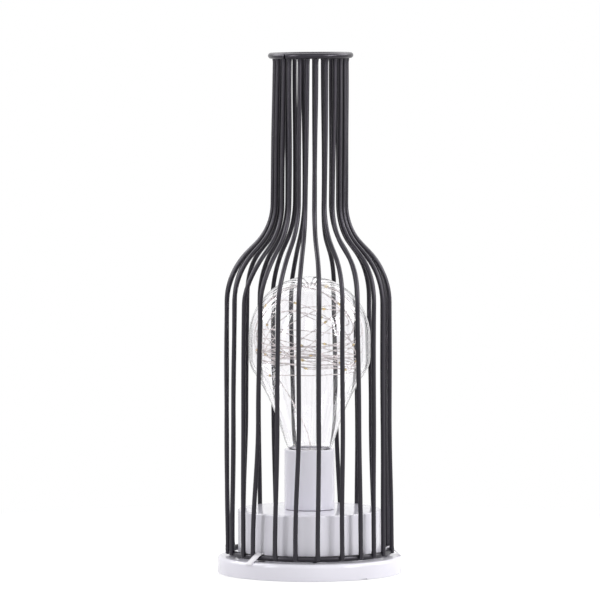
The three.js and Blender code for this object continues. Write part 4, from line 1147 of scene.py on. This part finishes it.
def cell(index, y, place):
    """A cell along Z from its dished foot to its nub, laid in its place."""
    r, nub = CELL_D / 2, CELL_NUB_D / 2
    dip, top = CELL_L - CELL_TOP_DIP, CELL_L + CELL_NUB_L
    line = [(0, CELL_DISH), (r - CELL_DISH_R, CELL_DISH), (r - CELL_RIM, 0)]
    line += low_corner(r, 0, CELL_EDGE_R, 4) + high_corner(r, CELL_L, CELL_EDGE_R, 4)
    line += [(r - CELL_TOP_RIM, dip), (nub + CELL_NUB_FOOT, dip), (nub, CELL_L)]
    line += high_corner(nub, top, CELL_NUB_EDGE_R, 3) + [(0, top)]
    piece = turned_piece(f"cell_{index}", line, CELL_FACETS, place=place)
    dress(piece, CELL_JACKET, [f"battery_cell_{index}"])
    piece.data.materials.append(BRIGHT_STEEL)
    for face in piece.data.polygons:
        off = math.hypot(face.center.y / MM - y, face.center.z / MM - CELL_Z)
        face.material_index = 1 if off < r - CELL_BARE_R else 0


def spring(index, place):
    """A coil spring along Z that narrows towards its cell, laid in its place."""
    points = [Vector((SPRING_WIDE_D / 2 - SPRING_WIRE_D / 2, 0, 0))]
    steps = CURL_STEPS * SPRING_CURLS
    for k in range(steps + 1):
        part = k / steps
        mean = (mix(SPRING_WIDE_D, SPRING_NARROW_D, part) - SPRING_WIRE_D) / 2
        angle = 2 * math.pi * SPRING_CURLS * part
        z = mix(SPRING_WIRE_D, SPRING_L - SPRING_WIRE_D, part)
        points.append(Vector((mean * math.cos(angle), mean * math.sin(angle), z)))
    points.append(Vector((points[-1].x, points[-1].y, SPRING_L)))
    line = [place @ p for p in points]
    coil = wire_piece(f"spring_{index}", line, SPRING_WIRE_D, SPRING_SIDES, SPRING_EASE, SMOOTH)
    dress(coil, BRIGHT_STEEL, [f"battery_spring_{index}"])


def battery_bay(index):
    """A cell and its spring, each bay turned about from the one before."""
    y = (index - (CELL_COUNT - 1) / 2) * CELL_PITCH
    way = -1 if index % 2 == 0 else 1
    bay = Matrix.Translation((0, y, CELL_Z)) @ Matrix.Rotation(way * math.pi / 2, 4, "Y")
    back = -CONTACT_X + FIT
    cell(index + 1, y, bay @ Matrix.Translation((0, 0, back + SPRING_L + FIT)))
    spring(index + 1, bay @ Matrix.Translation((0, 0, back)))


for place in range(CELL_COUNT):
    battery_bay(place)


def lead(name, node, look, knots):
    line = curve([Vector(knot) for knot in knots], 10)
    dress(wire_piece(name, line, LEAD_D, WIRE_SIDES, LEAD_EASE), look, [node])


def leads():
    """The leads, each through listed points."""
    cell_y = CELL_PITCH
    leg_end = RESISTOR_X + RESISTOR_L / 2 + RESISTOR_LEG_L + FIT
    lead("red_lead", "lead_feed", RED_SHEATH, [
        (leg_end, cell_y, RESISTOR_Z),
        (leg_end + LEAD_D, cell_y, RESISTOR_Z),
        (-2.5 * LEAD_SPREAD, 0.72 * cell_y, RESISTOR_Z + LEAD_D),
        (-2 * LEAD_SPREAD, 0.33 * cell_y, RESISTOR_Z + 3.5 * LEAD_D),
        (-LEAD_SPREAD, 0.5 * LEAD_SPREAD, DRUM_H),
        (-LEAD_SPREAD, 0, LEAD_JOINT_Z - LEAD_D),
        (-LEAD_SPREAD, 0, LEAD_JOINT_Z),
    ])
    lead("black_lead_up", "lead_return", BLACK_SHEATH, [
        (0, SWITCH_Y, TERMINAL_Z),
        (0, SWITCH_Y, TERMINAL_Z + LEAD_D),
        (LEAD_SPREAD, SWITCH_Y - LEAD_SPREAD, TRAY_TOP_Z),
        (4 * LEAD_SPREAD, 0.92 * TRAY_Y, ON_TRAY_Z + 1.4 * LEAD_D),
        (5 * LEAD_SPREAD, 0.41 * TRAY_Y, ON_TRAY_Z + 1.4 * LEAD_D),
        (3 * LEAD_SPREAD, 3 * LEAD_SPREAD, (ON_TRAY_Z + DRUM_H) / 2),
        (LEAD_SPREAD, 0.5 * LEAD_SPREAD, DRUM_H),
        (LEAD_SPREAD, 0, LEAD_JOINT_Z - LEAD_D),
        (LEAD_SPREAD, 0, LEAD_JOINT_Z),
    ])
    lead("black_lead_across", "lead_negative", BLACK_SHEATH, [
        (CONTACT_X - FIT, -cell_y, TAB_Z),
        (CONTACT_X - FIT - LEAD_D, -cell_y, TAB_Z),
        (0.62 * CONTACT_X, -cell_y + 2 * LEAD_D, ON_TRAY_Z),
        (0.48 * CONTACT_X, 0, ON_TRAY_Z),
        (0.41 * CONTACT_X, 0.57 * TRAY_Y, ON_TRAY_Z),
        (0.28 * CONTACT_X, TRAY_Y, ON_TRAY_Z + LEAD_D),
        (0.14 * CONTACT_X, SWITCH_Y - LEAD_SPREAD, TRAY_TOP_Z - 2 * LEAD_D),
        (0.3 * SWITCH_L, SWITCH_Y, TERMINAL_Z + LEAD_D),
        (0.3 * SWITCH_L, SWITCH_Y, TERMINAL_Z),
    ])


def resistor():
    half, reach = RESISTOR_L / 2, RESISTOR_L / 2 + RESISTOR_LEG_L
    body, leg = RESISTOR_D / 2, RESISTOR_LEG_D / 2
    waist = body * RESISTOR_WAIST
    line = [(0, -reach), (leg, -reach), (leg, -half)]
    line += low_corner(body, -half, RESISTOR_EDGE_R, 4)
    line += [(body, -half + RESISTOR_CAP_L), (waist, -half + RESISTOR_WAIST_L)]
    line += [(waist, half - RESISTOR_WAIST_L), (body, half - RESISTOR_CAP_L)]
    line += high_corner(body, half, RESISTOR_EDGE_R, 4)
    line += [(leg, half), (leg, reach), (0, reach)]
    lying = Matrix.Rotation(math.pi / 2, 4, "Y")
    place = Matrix.Translation((RESISTOR_X, CELL_PITCH, RESISTOR_Z)) @ lying
    piece = turned_piece("resistor_body", line, RESISTOR_FACETS, place=place)
    dress(piece, BEIGE_LACQUER, ["resistor"])
    piece.data.materials.append(BRIGHT_STEEL)
    for face in piece.data.polygons:
        face.material_index = 1 if abs(face.center.x / MM - RESISTOR_X) > half else 0


leads()
resistor()

# Solids that are shown as they are, with a finish and eased edges.
CAD_FINISHES = {
    "battery_tray": WHITE_GLOSS,
    "contact_negative": BRIGHT_STEEL,
    "contact_positive": BRIGHT_STEEL,
    "contact_link_1": BRIGHT_STEEL,
    "contact_link_2": BRIGHT_STEEL,
    "switch_body": DARK_PLASTIC,
    "switch_slider": DARK_PLASTIC,
}
for node, look in CAD_FINISHES.items():
    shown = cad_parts[node]
    shown.data.materials.clear()
    shown.data.materials.append(look)
    shown.modifiers.new("weld", "WELD").merge_threshold = CAD_MERGE * MM
    edge = shown.modifiers.new("edge", "BEVEL")
    edge.width = CAD_EDGE * MM
    edge.segments = 2
    edge.limit_method = "ANGLE"


# Camera, light and stage.

def softbox(name, azimuth, elevation, distance, width, height, power):
    light = bpy.data.lights.new(name, "AREA")
    light.shape = "RECTANGLE"
    light.size, light.size_y = width, height
    light.energy = power
    obj = bpy.data.objects.new(name, light)
    flat = distance * math.cos(math.radians(elevation))
    obj.location = polar(flat, azimuth, LAMPS_AIM_Z + distance * math.sin(math.radians(elevation)))
    bpy.context.scene.collection.objects.link(obj)
    aim = Vector((0, 0, LAMPS_AIM_Z)) - obj.location
    obj.rotation_euler = aim.to_track_quat("-Z", "Y").to_euler()


def maths(tree, operation, first, second):
    node = tree.nodes.new("ShaderNodeMath")
    node.operation = operation
    tree.links.new(first, node.inputs[0])
    tree.links.new(second, node.inputs[1])
    return node.outputs[0]


def seen_rays(tree):
    """1 for rays from the camera, a mirror or clear plastic, and 0 for the rays that light surfaces."""
    path = tree.nodes.new("ShaderNodeLightPath").outputs
    seen = path["Is Camera Ray"]
    for name in ("Is Glossy Ray", "Is Transmission Ray"):
        seen = maths(tree, "MAXIMUM", seen, path[name])
    return seen


def view():
    scene = bpy.context.scene
    scene.view_settings.view_transform = "Standard"
    camera = bpy.data.objects.new("camera", bpy.data.cameras.new("camera"))
    camera.data.lens = CAMERA_LENS
    camera.data.sensor_width = CAMERA_SENSOR
    camera.data.clip_end = CAMERA_REACH
    camera.location = CAMERA_AT
    camera.rotation_euler = (math.radians(90 - CAMERA_PITCH), 0, 0)
    scene.collection.objects.link(camera)
    scene.camera = camera


def surroundings():
    world = bpy.data.worlds.new("studio")
    bpy.context.scene.world = world
    world.use_nodes = True
    tree = world.node_tree
    strength = spread(tree, seen_rays(tree), WORLD_LIGHT, WORLD_SEEN, 0, 1)
    tree.links.new(strength, tree.nodes["Background"].inputs["Strength"])
    put(tree.nodes["Background"], Color=WHITE)


def paper():
    """A pale floor that keeps shadows, and goes over to white away from the object."""
    made, tree, shader = material("floor")
    put(shader, Base_Color=(FLOOR_TONE, FLOOR_TONE, FLOOR_TONE, 1), Roughness=FLOOR_ROUGH,
        Specular_IOR_Level=FLOOR_GLOSS, Emission_Color=WHITE)
    seen = seen_rays(tree)
    glow = spread(tree, seen, FLOOR_LIGHT, FLOOR_SEEN, 0, 1)
    tree.links.new(glow, shader.inputs["Emission Strength"])
    away = tree.nodes.new("ShaderNodeVectorMath")
    away.operation = "LENGTH"
    tree.links.new(tree.nodes.new("ShaderNodeTexCoord").outputs["Object"], away.inputs[0])
    part = maths(tree, "MULTIPLY", spread(tree, away.outputs["Value"], 0, 1, *FLOOR_FADE), seen)
    white = tree.nodes.new("ShaderNodeEmission")
    blend = tree.nodes.new("ShaderNodeMixShader")
    tree.links.new(part, blend.inputs["Fac"])
    tree.links.new(shader.outputs["BSDF"], blend.inputs[1])
    tree.links.new(white.outputs["Emission"], blend.inputs[2])
    tree.links.new(blend.outputs["Shader"], tree.nodes["Material Output"].inputs["Surface"])
    return made


def stage():
    bm = bmesh.new()
    bmesh.ops.create_circle(bm, cap_ends=True, segments=TUBE_FACETS, radius=FLOOR_R / MM)
    floor = to_object("floor", bm)
    floor.data.materials.append(paper())


view()
surroundings()
stage()
for name, settings in LAMPS.items():
    softbox(name, *settings)

bpy.context.view_layer.update()
